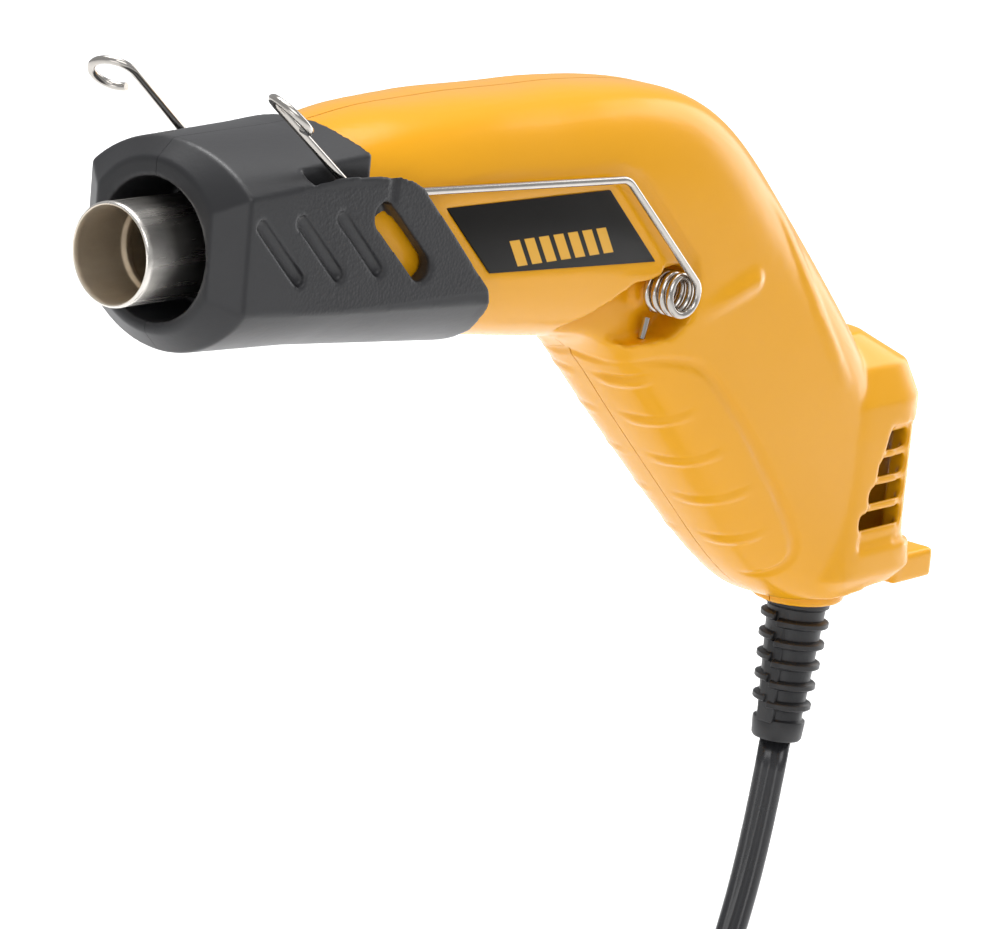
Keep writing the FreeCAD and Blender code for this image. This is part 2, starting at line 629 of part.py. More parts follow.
def stand_leg():
    """The left leg: a foot loop, the run beside the barrel and the coil it turns on."""
    outside = size("coil_out")
    slot_bend = Vec(-43.4, 18.9, 10.6)
    label_bend = Vec(-122.0, 20.2, 7.2)
    toward = Vec(0.776, -0.048, 0.629).normalize()
    foot_top = slot_bend + toward * 28.1
    reach_x = PIVOT[0] - label_bend.x
    reach_z = PIVOT[1] - label_bend.z
    lean = math.atan2(reach_z, reach_x) - math.asin(size("coil_rad") / math.hypot(reach_x, reach_z))
    start_angle = lean - math.pi / 2
    coil_start = on_coil(start_angle, outside)
    loop_side = Vec(0.212, 0.959, -0.188).normalize()
    loop_centre = foot_top + loop_side * size("loop_rad")
    loop = []
    for angle in (4.75, 2.4, 0):
        offset = toward * math.sin(angle) - loop_side * math.cos(angle)
        loop.append(loop_centre + offset * size("loop_rad"))
    run, _ = rounded_route([foot_top, slot_bend, label_bend, coil_start], 5.0)
    path = Part.Wire([Part.Arc(*loop).toShape()] + run.Edges)
    leg = round_tube(path, size("wire_rad"))
    spring = Part.makeHelix(size("coil_pitch"), size("coil_pitch") * size("coil_turns"), size("coil_rad"))
    first = Vec(math.cos(start_angle), 0, math.sin(start_angle))
    turn = FreeCAD.Rotation(first, Vec(-first.z, 0, first.x), -Y_AXIS, "ZXY")
    spring.Placement = FreeCAD.Placement(Vec(PIVOT[0], outside, PIVOT[1]), turn)
    coil = round_tube(Part.Wire(spring.Edges), size("wire_rad"))
    return leg.fuse(coil)


def stand_tail():
    """The fixed tail of the left coil, sunk in the floor of the housing's pocket."""
    top = Vec(PIVOT[0] + 1.2, 12.4, PIVOT[1] - 5.8)
    return Part.makeCylinder(size("wire_rad"), 4.4, top, Vec(0.25, 0, -1))


left_leg = stand_leg()
free_part("stand_leg_left", left_leg)
free_part("stand_leg_right", left_leg.mirror(Vec(0, 0, 0), Y_AXIS))
free_part("stand_tail_left", stand_tail())
free_part("stand_tail_right", stand_tail().mirror(Vec(0, 0, 0), Y_AXIS))


# ---------------------------------------------------------------- strain relief and cord
RELIEF_RIBS = 7
RELIEF_TURN = FreeCAD.Rotation(Z_AXIS, RELIEF_AXIS)


def on_relief(item, along):
    """Places an upright item on the strain relief's axis, this far outside the housing."""
    item.Placement = FreeCAD.Placement(CORD_EXIT + RELIEF_AXIS * along, RELIEF_TURN)
    return item


core = doc.addObject("Part::Cone", "relief_core")
bind(core, Radius1="Sizes.relief_top - 1.4", Radius2="Sizes.relief_tip - 1.1", Height="Sizes.relief_long")
on_relief(core, 0)
neck = on_relief(cylinder("relief_neck", "Sizes.relief_top - 1.6", "7", CORD_EXIT, Z_AXIS), -7)
flange = on_relief(cylinder("relief_flange", "Sizes.relief_top + 1", "2.4", CORD_EXIT, Z_AXIS), -9.4)
ribs = []
for number in range(RELIEF_RIBS):
    rib = doc.addObject("Part::Cylinder", "relief_rib_%d" % number)
    bind(rib, Radius="Sizes.relief_top - (Sizes.relief_top - Sizes.relief_tip) * %d / %d"
         % (number, RELIEF_RIBS - 1), Height="1.9")
    ribs.append(on_relief(rib, 4.4 * number))
tip = on_relief(cylinder("relief_collar", "Sizes.relief_tip + 0.3", "3.2", CORD_EXIT, Z_AXIS),
                size("relief_long") - 3.2)
node(joined("relief", [core, neck, flange, tip] + ribs), "strain_relief")

# the radius of a round cord with the flat cord's area
CORD_RAD = math.sqrt((size("cord_wide") - size("cord_thick") * 0.2) * size("cord_thick") / math.pi)
FLOOR = -size("floor_drop")
COIL_CENTRE = (-140.0, 41.0)
# the route from the strain relief's tip down to the stored coil: x, y, height of its centre
CORD_ROUTE = [(-218.9, 0, -152), (-212.4, -0.6, -178), (-202.6, -1.8, -203), (-190, -3.2, -226),
              (-173, -4.4, -243.2), (-153, -5, -252.2), (-137, -5, -252.2)]
cord_start = CORD_EXIT + RELIEF_AXIS * size("relief_long")
cord_path, cord_radii = rounded_route([cord_start] + [Vec(*point) for point in CORD_ROUTE])
cord_solid = round_tube(cord_path, CORD_RAD)
free_part("cord", cord_solid)
print("cord bend radii", [round(radius, 1) for radius in cord_radii], "length", round(cord_path.Length, 1))
print("cord volume ratio", round(cord_solid.Volume / (math.pi * CORD_RAD ** 2 * cord_path.Length), 4))

coil_outer = cylinder("stored_outer", "Sizes.coil_mid + Sizes.coil_band / 2", "Sizes.coil_high",
                      Vec(COIL_CENTRE[0], COIL_CENTRE[1], FLOOR), Z_AXIS)
coil_inner = cylinder("stored_inner", "Sizes.coil_mid - Sizes.coil_band / 2", "Sizes.coil_high + 4",
                      Vec(COIL_CENTRE[0], COIL_CENTRE[1], FLOOR - 2), Z_AXIS)
node(cut("stored_coil", coil_outer, coil_inner), "cord_coil")


# ---------------------------------------------------------------- plug
PLUG_REAR = Vec(-128, 76, FLOOR + size("coil_high"))
plug = doc.addObject("PartDesign::Body", "plug")
block = plug.newObject("PartDesign::AdditiveBox", "plug_block")
block.AttachmentSupport = (plane_of(plug, "XY_Plane"), [""])
block.MapMode = "FlatFace"
block.AttachmentOffset = FreeCAD.Placement(Vec(-26, -11, 0), FreeCAD.Rotation())
block.Length = 26
block.Width = 22
block.Height = 13
doc.recompute()
rounded = plug.newObject("PartDesign::Fillet", "plug_edges")
rounded.Base = (block, ["Edge%d" % number for number in range(1, 13)])
rounded.Radius = 2.5
doc.recompute()
plug.Placement = FreeCAD.Placement(PLUG_REAR, FreeCAD.Rotation())
node(plug, "plug_body")

blade_items = []
for side in (-1, 1):
    blade = doc.addObject("Part::Box", "blade_pin_%d" % (side + 1))
    blade.Length = 17
    blade.Width = 1.5
    blade.Height = 6.4
    corner = Vec(PLUG_REAR.x - 26 - 16, PLUG_REAR.y + side * size("blade_gap") / 2 - 0.75, PLUG_REAR.z + 3.3)
    blade.Placement = FreeCAD.Placement(corner, FreeCAD.Rotation())
    blade_items.append(blade)
blade_pair = doc.addObject("Part::Compound", "blade_pair")
blade_pair.Links = blade_items
node(blade_pair, "plug_blades")


# ---------------------------------------------------------------- checks and files
doc.recompute()
for item in doc.Objects:
    if "Invalid" in item.State or "Error" in item.State:
        raise RuntimeError("%s failed: %s" % (item.Name, item.State))
os.makedirs("parts", exist_ok=True)
for item in NODES:
    if item.Shape.isNull() or not item.Shape.isValid():
        raise RuntimeError(item.Label + " has no valid shape")
for item in NODES:
    item.Shape.exportStep("parts/%s.step" % item.Label)
    print("%-18s %2d solids %9.1f mm3" % (item.Label, len(item.Shape.Solids), item.Shape.Volume))
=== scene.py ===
import math

import bmesh
import bpy
import numpy as np
from mathutils import Matrix, Vector


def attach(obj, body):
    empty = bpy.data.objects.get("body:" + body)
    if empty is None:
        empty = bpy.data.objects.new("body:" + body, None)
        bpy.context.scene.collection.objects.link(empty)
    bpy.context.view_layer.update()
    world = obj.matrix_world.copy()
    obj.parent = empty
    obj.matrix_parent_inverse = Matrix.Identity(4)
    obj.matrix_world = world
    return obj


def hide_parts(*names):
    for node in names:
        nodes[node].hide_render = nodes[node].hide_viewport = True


# A small heat gun: moulded yellow body, dark nose, bright nozzle and a fold-out wire stand.
# Frame: metres, origin at the centre of the nozzle's mouth, +X out of the nozzle, +Z up.

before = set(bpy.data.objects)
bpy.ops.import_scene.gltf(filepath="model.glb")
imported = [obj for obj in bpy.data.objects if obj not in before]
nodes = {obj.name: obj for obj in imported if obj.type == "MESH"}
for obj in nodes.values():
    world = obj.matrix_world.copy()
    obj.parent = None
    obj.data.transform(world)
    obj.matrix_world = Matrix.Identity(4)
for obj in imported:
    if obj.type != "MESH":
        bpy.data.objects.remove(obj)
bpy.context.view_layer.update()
MM = 0.001


# ---------------------------------------------------------------- camera, lights and floor
CAMERA_AIM = Vector((-0.1157, 0.0, -0.0537))
CAMERA_AZIMUTH = math.radians(38.56)
CAMERA_HEIGHT = math.radians(13.87)
CAMERA_ROLL = math.radians(5.32)
CAMERA_DISTANCE = 0.9009
CAMERA_LENS = 163.2
FLOOR_LEVEL = -0.2552
FLOOR_WIDE = 14
LIT_PLACE = (-0.12, 0, -0.03)
# softboxes: name, place, aim, width, height, power, beam in degrees
SOFTBOXES = [
    ("key_over_left", (0.35, 0.9, 0.75), LIT_PLACE, 0.9, 0.7, 3.8, 180),
    ("top", (-0.05, -0.1, 1.1), LIT_PLACE, 0.9, 0.7, 4.6, 180),
    ("rim_behind", (-1.1, 0.10, 0.15), LIT_PLACE, 0.5, 1.0, 3.8, 180),
    ("low_front", (0.85, 0.45, -0.08), (-0.17, 0, -0.06), 0.5, 0.3, 0.8, 180),
    ("over_floor", (-1.5, -1.2, 2.2), (-1.3, -1.02, FLOOR_LEVEL), 3.0, 3.0, 40, 70),
]
AIR_COLOUR = (0.97, 0.98, 1.0, 1)
AIR_STRENGTH = 0.45


def turned_to(place, aim):
    """The matrix of a lamp or camera at a place that looks at a point, level from side to side."""
    back = (place - aim).normalized()
    right = Vector((0, 0, 1)).cross(back).normalized()
    up = back.cross(right)
    matrix = Matrix((right, up, back)).transposed().to_4x4()
    matrix.translation = place
    return matrix


def set_camera():
    """A long lens from the front left, a little above the tool and rolled a few degrees."""
    flat = math.cos(CAMERA_HEIGHT)
    away = Vector((flat * math.cos(CAMERA_AZIMUTH), flat * math.sin(CAMERA_AZIMUTH),
                   math.sin(CAMERA_HEIGHT)))
    data = bpy.data.cameras.new("camera")
    data.lens = CAMERA_LENS
    data.clip_start = 0.01
    data.clip_end = 50
    camera = bpy.data.objects.new("camera", data)
    bpy.context.scene.collection.objects.link(camera)
    level = turned_to(CAMERA_AIM + away * CAMERA_DISTANCE, CAMERA_AIM)
    camera.matrix_world = level @ Matrix.Rotation(CAMERA_ROLL, 4, "Z")
    bpy.context.scene.camera = camera


def softbox(name, place, aim, wide, high, power, beam):
    data = bpy.data.lights.new(name, "AREA")
    data.shape = "RECTANGLE"
    data.size = wide
    data.size_y = high
    data.energy = power
    data.spread = math.radians(beam)
    lamp = bpy.data.objects.new(name, data)
    bpy.context.scene.collection.objects.link(lamp)
    lamp.matrix_world = turned_to(Vector(place), Vector(aim))


def set_lights():
    for box in SOFTBOXES:
        softbox(*box)
    world = bpy.data.worlds.new("studio")
    bpy.context.scene.world = world
    world.use_nodes = True
    air = world.node_tree.nodes["Background"]
    air.inputs["Color"].default_value = AIR_COLOUR
    air.inputs["Strength"].default_value = AIR_STRENGTH
    bpy.context.scene.view_settings.view_transform = "Standard"


def studio_floor():
    clear_selection()
    bpy.ops.mesh.primitive_plane_add(size=FLOOR_WIDE, location=(-2, -2, FLOOR_LEVEL))
    floor = bpy.context.object
    settle(floor, "studio_floor", FLOOR_PAINT)


# ---------------------------------------------------------------- shared shader groups
def new_group(name, inputs, outputs):
    """An empty shader group: inputs are (name, type, value), outputs are (name, type)."""
    group = bpy.data.node_groups.new(name, "ShaderNodeTree")
    for title, kind, value in inputs:
        socket = group.interface.new_socket(name=title, in_out="INPUT", socket_type=kind)
        socket.default_value = value
    for title, kind in outputs:
        group.interface.new_socket(name=title, in_out="OUTPUT", socket_type=kind)
    return group, group.nodes.new("NodeGroupInput"), group.nodes.new("NodeGroupOutput")


def set_or_link(tree, socket, item):
    """Gives a socket a number, or a link from another node's output."""
    if isinstance(item, (int, float)):
        socket.default_value = item
    else:
        tree.links.new(item, socket)


def noise(tree, coords, scale, detail, rough=0.55):
    """Soft noise from 0 to 1."""
    node = tree.nodes.new("ShaderNodeTexNoise")
    node.inputs["Detail"].default_value = detail
    node.inputs["Roughness"].default_value = rough
    tree.links.new(coords, node.inputs["Vector"])
    set_or_link(tree, node.inputs["Scale"], scale)
    return node.outputs["Fac"]


def spread(tree, value, low, high):
    """A value from 0 to 1 mapped to between two sockets or numbers."""
    node = tree.nodes.new("ShaderNodeMapRange")
    tree.links.new(value, node.inputs["Value"])
    set_or_link(tree, node.inputs["To Min"], low)
    set_or_link(tree, node.inputs["To Max"], high)
    return node.outputs["Result"]


def maths(tree, kind, *items):
    node = tree.nodes.new("ShaderNodeMath")
    node.operation = kind
    for socket, item in zip(node.inputs, items):
        set_or_link(tree, socket, item)
    return node.outputs[0]


def mixed(tree, factor, first, second):
    """Two colours mixed by a factor."""
    mix = tree.nodes.new("ShaderNodeMix")
    mix.data_type = "RGBA"
    tree.links.new(factor, mix.inputs["Factor"])
    for title, item in (("A", first), ("B", second)):
        if isinstance(item, tuple):
            mix.inputs[title].default_value = item
        else:
            tree.links.new(item, mix.inputs[title])
    return mix.outputs["Result"]


def mottle_group():
    """Moulded material: two colours in slow clouds, a roughness that wanders and a fine skin height."""
    group, given, out = new_group(
        "moulded_mottle",
        [("Coords", "NodeSocketVector", (0, 0, 0)), ("Colour", "NodeSocketColor", (0.5, 0.5, 0.5, 1)),
         ("Shade", "NodeSocketColor", (0.4, 0.4, 0.4, 1)), ("Rough Low", "NodeSocketFloat", 0.2),
         ("Rough High", "NodeSocketFloat", 0.3), ("Grain Scale", "NodeSocketFloat", 900.0)],
        [("Colour", "NodeSocketColor"), ("Roughness", "NodeSocketFloat"), ("Height", "NodeSocketFloat")])
    coords = given.outputs["Coords"]
    clouds = noise(group, coords, 26.0, 4.0)
    colour = mixed(group, clouds, given.outputs["Colour"], given.outputs["Shade"])
    smears = noise(group, coords, 90.0, 5.0, 0.65)
    rough = spread(group, smears, given.outputs["Rough Low"], given.outputs["Rough High"])
    grain = noise(group, coords, given.outputs["Grain Scale"], 2.0)
    group.links.new(colour, out.inputs["Colour"])
    group.links.new(rough, out.inputs["Roughness"])
    group.links.new(grain, out.inputs["Height"])
    return group


def brushed_group():
    """Drawn or brushed metal: streaks stretched along one way, as a mask, a roughness and a height."""
    group, given, out = new_group(
        "brushed_streaks",
        [("Coords", "NodeSocketVector", (0, 0, 0)), ("Stretch", "NodeSocketVector", (30, 900, 900)),
         ("Rough Low", "NodeSocketFloat", 0.1), ("Rough High", "NodeSocketFloat", 0.25)],
        [("Mask", "NodeSocketFloat"), ("Roughness", "NodeSocketFloat"), ("Height", "NodeSocketFloat")])
    scale = group.nodes.new("ShaderNodeVectorMath")
    scale.operation = "MULTIPLY"
    group.links.new(given.outputs["Coords"], scale.inputs[0])
    group.links.new(given.outputs["Stretch"], scale.inputs[1])
    streaks = noise(group, scale.outputs["Vector"], 1.0, 4.0, 0.6)
    clouds = noise(group, given.outputs["Coords"], 160.0, 4.0, 0.6)
    mask = maths(group, "MULTIPLY", streaks, clouds)
    group.links.new(mask, out.inputs["Mask"])
    group.links.new(spread(group, streaks, given.outputs["Rough Low"], given.outputs["Rough High"]),
                    out.inputs["Roughness"])
    group.links.new(streaks, out.inputs["Height"])
    return group


MOTTLE = mottle_group()
BRUSHED = brushed_group()


def place_group(tree, group, coords, **values):
    node = tree.nodes.new("ShaderNodeGroup")
    node.node_tree = group
    tree.links.new(coords, node.inputs["Coords"])
    for title, value in values.items():
        node.inputs[title.replace("_", " ")].default_value = value
    return node


def new_material(name):
    material = bpy.data.materials.new(name)
    material.use_nodes = True
    tree = material.node_tree
    shader = tree.nodes["Principled BSDF"]
    coords = tree.nodes.new("ShaderNodeTexCoord").outputs["Object"]
    return material, tree, shader, coords


def add_bump(tree, shader, height, strength, distance):
    bump = tree.nodes.new("ShaderNodeBump")
    bump.inputs["Strength"].default_value = strength
    bump.inputs["Distance"].default_value = distance
    tree.links.new(height, bump.inputs["Height"])
    tree.links.new(bump.outputs["Normal"], shader.inputs["Normal"])


def moulded(name, colour, shade, rough, grain, bump, shine=0.5):
    """A moulded plastic or rubber."""
    material, tree, shader, coords = new_material(name)
    group = place_group(tree, MOTTLE, coords, Colour=(*colour, 1), Shade=(*shade, 1), Rough_Low=rough[0],
                        Rough_High=rough[1], Grain_Scale=grain)
    tree.links.new(group.outputs["Colour"], shader.inputs["Base Color"])
    tree.links.new(group.outputs["Roughness"], shader.inputs["Roughness"])
    shader.inputs["Specular IOR Level"].default_value = shine
    add_bump(tree, shader, group.outputs["Height"], bump, 0.00006)
    return material


def metal(name, colour, dull, rough, stretch, bump):
    """A plated or drawn metal."""
    material, tree, shader, coords = new_material(name)
    group = place_group(tree, BRUSHED, coords, Stretch=stretch, Rough_Low=rough[0], Rough_High=rough[1])
    tree.links.new(mixed(tree, group.outputs["Mask"], (*colour, 1), (*dull, 1)), shader.inputs["Base Color"])
    tree.links.new(group.outputs["Roughness"], shader.inputs["Roughness"])
    shader.inputs["Metallic"].default_value = 1.0
    add_bump(tree, shader, group.outputs["Height"], bump, 0.00004)
    return material


def soft_step(tree, value, place, soft, before, after):
    """A smooth step at a place, from one number to another."""
    node = tree.nodes.new("ShaderNodeMapRange")
    node.interpolation_type = "SMOOTHSTEP"
    tree.links.new(value, node.inputs["Value"])
    node.inputs["From Min"].default_value = place - soft
    node.inputs["From Max"].default_value = place + soft
    node.inputs["To Min"].default_value = before
    node.inputs["To Max"].default_value = after
    return node.outputs["Result"]


def band(tree, value, low, high, soft):
    """1 between low and high, 0 outside, with soft ends."""
    return maths(tree, "MULTIPLY", soft_step(tree, value, low, soft, 0.0, 1.0),
                 soft_step(tree, value, high, soft, 1.0, 0.0))


# half width, depth and height that the texture on each side of the nose lies within
GRAIN_SIDE = (0.0203, 0.05)
GRAIN_DEPTH = (-0.2, -0.0165)
GRAIN_HEIGHT = (-0.0102, 0.0125)
# the label's bars: colour, count, first place, spacing, width, lean and height
BAR_COLOUR = (0.78, 0.42, 0.06, 1)
BAR_COUNT = 7
BAR_START = -0.1176
BAR_SPACING = 0.0044
BAR_WIDE = 0.0030
BAR_LEAN = -0.62
BAR_HEIGHT = (-0.0076, -0.0024)
BAR_SOFT = 0.00008


def shroud_plastic():
    """Dark grey nose plastic: satin, with a leather-like texture on the flat of each side."""
    material, tree, shader, coords = new_material("shroud_plastic")
    group = place_group(tree, MOTTLE, coords, Colour=(0.024, 0.024, 0.026, 1), Shade=(0.019, 0.019, 0.021, 1),
                        Rough_Low=0.34, Rough_High=0.44, Grain_Scale=1500.0)
    tree.links.new(group.outputs["Colour"], shader.inputs["Base Color"])
    split = tree.nodes.new("ShaderNodeSeparateXYZ")
    tree.links.new(coords, split.inputs[0])
    side = band(tree, maths(tree, "ABSOLUTE", split.outputs["Y"]), *GRAIN_SIDE, 0.0003)
    height = band(tree, split.outputs["Z"], *GRAIN_HEIGHT, 0.0004)
    length = band(tree, split.outputs["X"], *GRAIN_DEPTH, 0.0006)
    panel = maths(tree, "MULTIPLY", maths(tree, "MULTIPLY", side, height), length)
    pebbles = tree.nodes.new("ShaderNodeTexVoronoi")
    pebbles.inputs["Scale"].default_value = 1500.0
    tree.links.new(coords, pebbles.inputs["Vector"])
    pebble = maths(tree, "MULTIPLY", pebbles.outputs["Distance"], panel)
    skin = maths(tree, "ADD", maths(tree, "MULTIPLY", group.outputs["Height"], 0.25), pebble)
    rough = maths(tree, "ADD", group.outputs["Roughness"], maths(tree, "MULTIPLY", panel, 0.14))
    tree.links.new(rough, shader.inputs["Roughness"])
    add_bump(tree, shader, skin, 0.6, 0.00012)
    return material


def label_film():
    """Black satin film with seven plain slanted bars in yellow."""
    material, tree, shader, coords = new_material("label_film")
    group = place_group(tree, MOTTLE, coords, Colour=(0.014, 0.013, 0.012, 1), Shade=(0.018, 0.017, 0.016, 1),
                        Rough_Low=0.28, Rough_High=0.36, Grain_Scale=1200.0)
    split = tree.nodes.new("ShaderNodeSeparateXYZ")
    tree.links.new(coords, split.inputs[0])
    lean = maths(tree, "ADD", split.outputs["X"], maths(tree, "MULTIPLY", split.outputs["Z"], BAR_LEAN))
    bars = band(tree, lean, BAR_START, BAR_START + BAR_WIDE, BAR_SOFT)
    for number in range(1, BAR_COUNT):
        start = BAR_START + BAR_SPACING * number
        bars = maths(tree, "MAXIMUM", bars, band(tree, lean, start, start + BAR_WIDE, BAR_SOFT))
    bars = maths(tree, "MULTIPLY", bars, band(tree, split.outputs["Z"], *BAR_HEIGHT, BAR_SOFT))
    tree.links.new(mixed(tree, bars, group.outputs["Colour"], BAR_COLOUR), shader.inputs["Base Color"])
    tree.links.new(group.outputs["Roughness"], shader.inputs["Roughness"])
    shader.inputs["Specular IOR Level"].default_value = 0.1
    add_bump(tree, shader, group.outputs["Height"], 0.1, 0.00003)
    return material


# plastics and rubbers: name, colour, shade, roughness range, grain scale, bump, shine
# metals: name, colour, dull colour, roughness range, stretch of the streaks, bump
YELLOW = moulded("yellow_plastic", (0.86, 0.395, 0.006), (0.83, 0.372, 0.004), (0.20, 0.27), 700.0, 0.10, 0.36)
SHROUD = shroud_plastic()
FILM = label_film()
NICKEL = metal("bright_nickel", (0.93, 0.90, 0.85), (0.55, 0.50, 0.44), (0.14, 0.36), (40, 700, 700), 0.25)
WARM_NICKEL = metal("brushed_nickel", (0.92, 0.84, 0.72), (0.60, 0.50, 0.38), (0.34, 0.55), (60, 500, 500), 0.3)
WIRE = metal("plated_wire", (0.62, 0.59, 0.55), (0.40, 0.37, 0.34), (0.12, 0.24), (300, 300, 300), 0.15)
STEEL = metal("drawn_steel", (0.52, 0.52, 0.53), (0.34, 0.34, 0.35), (0.25, 0.42), (200, 900, 900), 0.2)
ZINC = metal("zinc_plate", (0.60, 0.60, 0.58), (0.42, 0.41, 0.38), (0.22, 0.38), (400, 400, 400), 0.2)
BRASS = metal("stamped_brass", (0.72, 0.53, 0.25), (0.52, 0.36, 0.16), (0.18, 0.34), (60, 900, 900), 0.15)
HEATER = metal("heater_wire", (0.30, 0.25, 0.22), (0.16, 0.13, 0.12), (0.35, 0.55), (500, 500, 500), 0.3)
MICA = moulded("mica_sheet", (0.42, 0.34, 0.22), (0.28, 0.21, 0.13), (0.35, 0.6), 500.0, 0.4)
RUBBER = moulded("relief_rubber", (0.022, 0.022, 0.024), (0.017, 0.017, 0.018), (0.36, 0.48), 1100.0, 0.3)
CORD_COVER = moulded("cord_cover", (0.018, 0.018, 0.021), (0.014, 0.014, 0.016), (0.22, 0.32), 900.0, 0.12,
                     0.75)
BLACK_PLASTIC = moulded("black_plastic", (0.030, 0.030, 0.032), (0.022, 0.022, 0.024), (0.35, 0.46), 1000.0,
                        0.25)
BOARD = moulded("phenolic_board", (0.30, 0.20, 0.09), (0.22, 0.14, 0.06), (0.4, 0.55), 600.0, 0.3)
FLOOR_PAINT = moulded("studio_floor", (0.90, 0.90, 0.90), (0.88, 0.88, 0.88), (0.6, 0.7), 300.0, 0.05)


# ---------------------------------------------------------------- small helpers for pieces
def only(piece):
    """Makes a piece the one selected and active object."""
    for other in bpy.context.selected_objects:
        other.select_set(False)
    piece.select_set(True)
    bpy.context.view_layer.objects.active = piece


def clear_selection():
    bpy.ops.object.select_all(action="DESELECT")


def settle(piece, name, material):
    """Names a piece, applies its place to its mesh and gives it its material."""
    piece.name = name
    piece.data.name = name
    only(piece)
    bpy.ops.object.transform_apply(location=True, rotation=True, scale=True)
    piece.data.materials.clear()
    piece.data.materials.append(material)
    return piece


def add_modifier(piece, kind, **settings):
    modifier = piece.modifiers.new(kind.lower(), kind)
    for key, value in settings.items():
        setattr(modifier, key, value)
    only(piece)
    bpy.ops.object.modifier_apply(modifier=modifier.name)


def rounded_edges(piece, width, segments=3, angle=40):
    add_modifier(piece, "BEVEL", width=width, segments=segments, limit_method="ANGLE",
                 angle_limit=math.radians(angle), harden_normals=False)
    bpy.ops.object.shade_smooth_by_angle(angle=math.radians(35))


def copy_of(node, name):
    """A merged copy of a CAD node's mesh, as a new piece."""
    clear_selection()
    piece = nodes[node].copy()
    piece.data = nodes[node].data.copy()
    piece.parent = None
    for key in list(piece.keys()):
        del piece[key]
    bpy.context.scene.collection.objects.link(piece)
    piece.name = name
    piece.data.name = name
    only(piece)
    bpy.ops.mesh.customdata_custom_splitnormals_clear()
    bpy.ops.object.mode_set(mode="EDIT")
    bpy.ops.mesh.select_all(action="SELECT")
    bpy.ops.mesh.remove_doubles(threshold=0.00001)
    bpy.ops.object.mode_set(mode="OBJECT")
    return piece


def lathe(name, outline, base, axis, material, steps=96, hollow=False):
    """A turned piece, or a ring if hollow. The outline is (distance along the axis, radius) in millimetres."""
    clear_selection()
    axis = Vector(axis).normalized()
    turn = Vector((0, 0, 1)).rotation_difference(axis)
    base = Vector(base)
    first = base + axis * outline[0][0] * MM
    bpy.ops.mesh.primitive_circle_add(vertices=steps, radius=outline[0][1] * MM, location=first,
                                      rotation=turn.to_euler())
    piece = bpy.context.object
    bpy.ops.object.transform_apply(location=True, rotation=True, scale=True)
    bpy.ops.object.mode_set(mode="EDIT")
    bpy.ops.mesh.select_all(action="SELECT")
    for (before, old), (along, radius) in zip(outline, outline[1:]):
        bpy.ops.mesh.extrude_edges_move(TRANSFORM_OT_translate={"value": axis * (along - before) * MM})
        grow = radius / old
        bpy.ops.transform.resize(value=(grow, grow, grow), center_override=base + axis * along * MM)
    bpy.ops.mesh.select_mode(type="VERT")
    bpy.ops.mesh.select_all(action="DESELECT")
    bpy.ops.mesh.select_non_manifold()
    if hollow:
        bpy.ops.mesh.bridge_edge_loops()
    else:
        bpy.ops.mesh.fill_holes(sides=0)
    bpy.ops.mesh.select_all(action="SELECT")
    bpy.ops.mesh.normals_make_consistent(inside=False)
    bpy.ops.object.mode_set(mode="OBJECT")
    settle(piece, name, material)
    bpy.ops.object.shade_smooth_by_angle(angle=math.radians(32))
    return piece


def join_pieces(pieces, name):
    clear_selection()
    for piece in pieces:
        piece.select_set(True)
    bpy.context.view_layer.objects.active = pieces[0]
    bpy.ops.object.join()
    joined = bpy.context.object
    joined.name = name
    joined.data.name = name
    return joined


def finish_piece(piece, body, slot, *replaced):
    """Says what a piece rides on and hides the design nodes that it stands for; the slot argument is not used.
    """
    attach(piece, body)
    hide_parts(*replaced)
    return piece


# ---------------------------------------------------------------- shaping fields for the moulded shells
def to_line(points, line):
    """Distance from each point to a run of segments, and the share of its length at the nearest place."""
    line = np.array(line, float)
    lengths = np.linalg.norm(np.diff(line, axis=0), axis=1)
    starts = np.concatenate([[0], np.cumsum(lengths)])
    best = np.full(len(points), 1e9)
    along = np.zeros(len(points))
    for index, length in enumerate(lengths):
        way = (line[index + 1] - line[index]) / length
        from_start = points - line[index]
        run = np.clip(from_start @ way, 0, length)
        gap = np.linalg.norm(from_start - run[:, None] * way, axis=1)
        nearer = gap < best
        best[nearer] = gap[nearer]
        along[nearer] = (starts[index] + run[nearer]) / starts[-1]
    return best, along


def hill(distance, width):
    """1 on the line, falling smoothly to 0 at the width."""
    share = np.clip(1 - (distance / width) ** 2, 0, 1)
    return share * share * (3 - 2 * share)


def smooth_path(points):
    """The same path with its corners cut, twice."""
    points = [np.array(point, float) for point in points]
    for _ in range(2):
        cut = [points[0]]
        for first, second in zip(points, points[1:]):
            cut += [first * 0.75 + second * 0.25, first * 0.25 + second * 0.75]
        points = cut + [points[-1]]
    return np.array(points)


def ends_fade(share, steep, least):
    """1 along the middle of a line, falling towards its two ends."""
    return np.clip(np.minimum(share, 1 - share) * steep, least, 1)


def vertex_values(mesh, title):
    values = np.empty(len(mesh.vertices) * 3)
    mesh.vertices.foreach_get(title, values)
    return values.reshape(-1, 3)


def place_vertices(mesh, place):
    mesh.vertices.foreach_set("co", place.ravel())
    mesh.update()


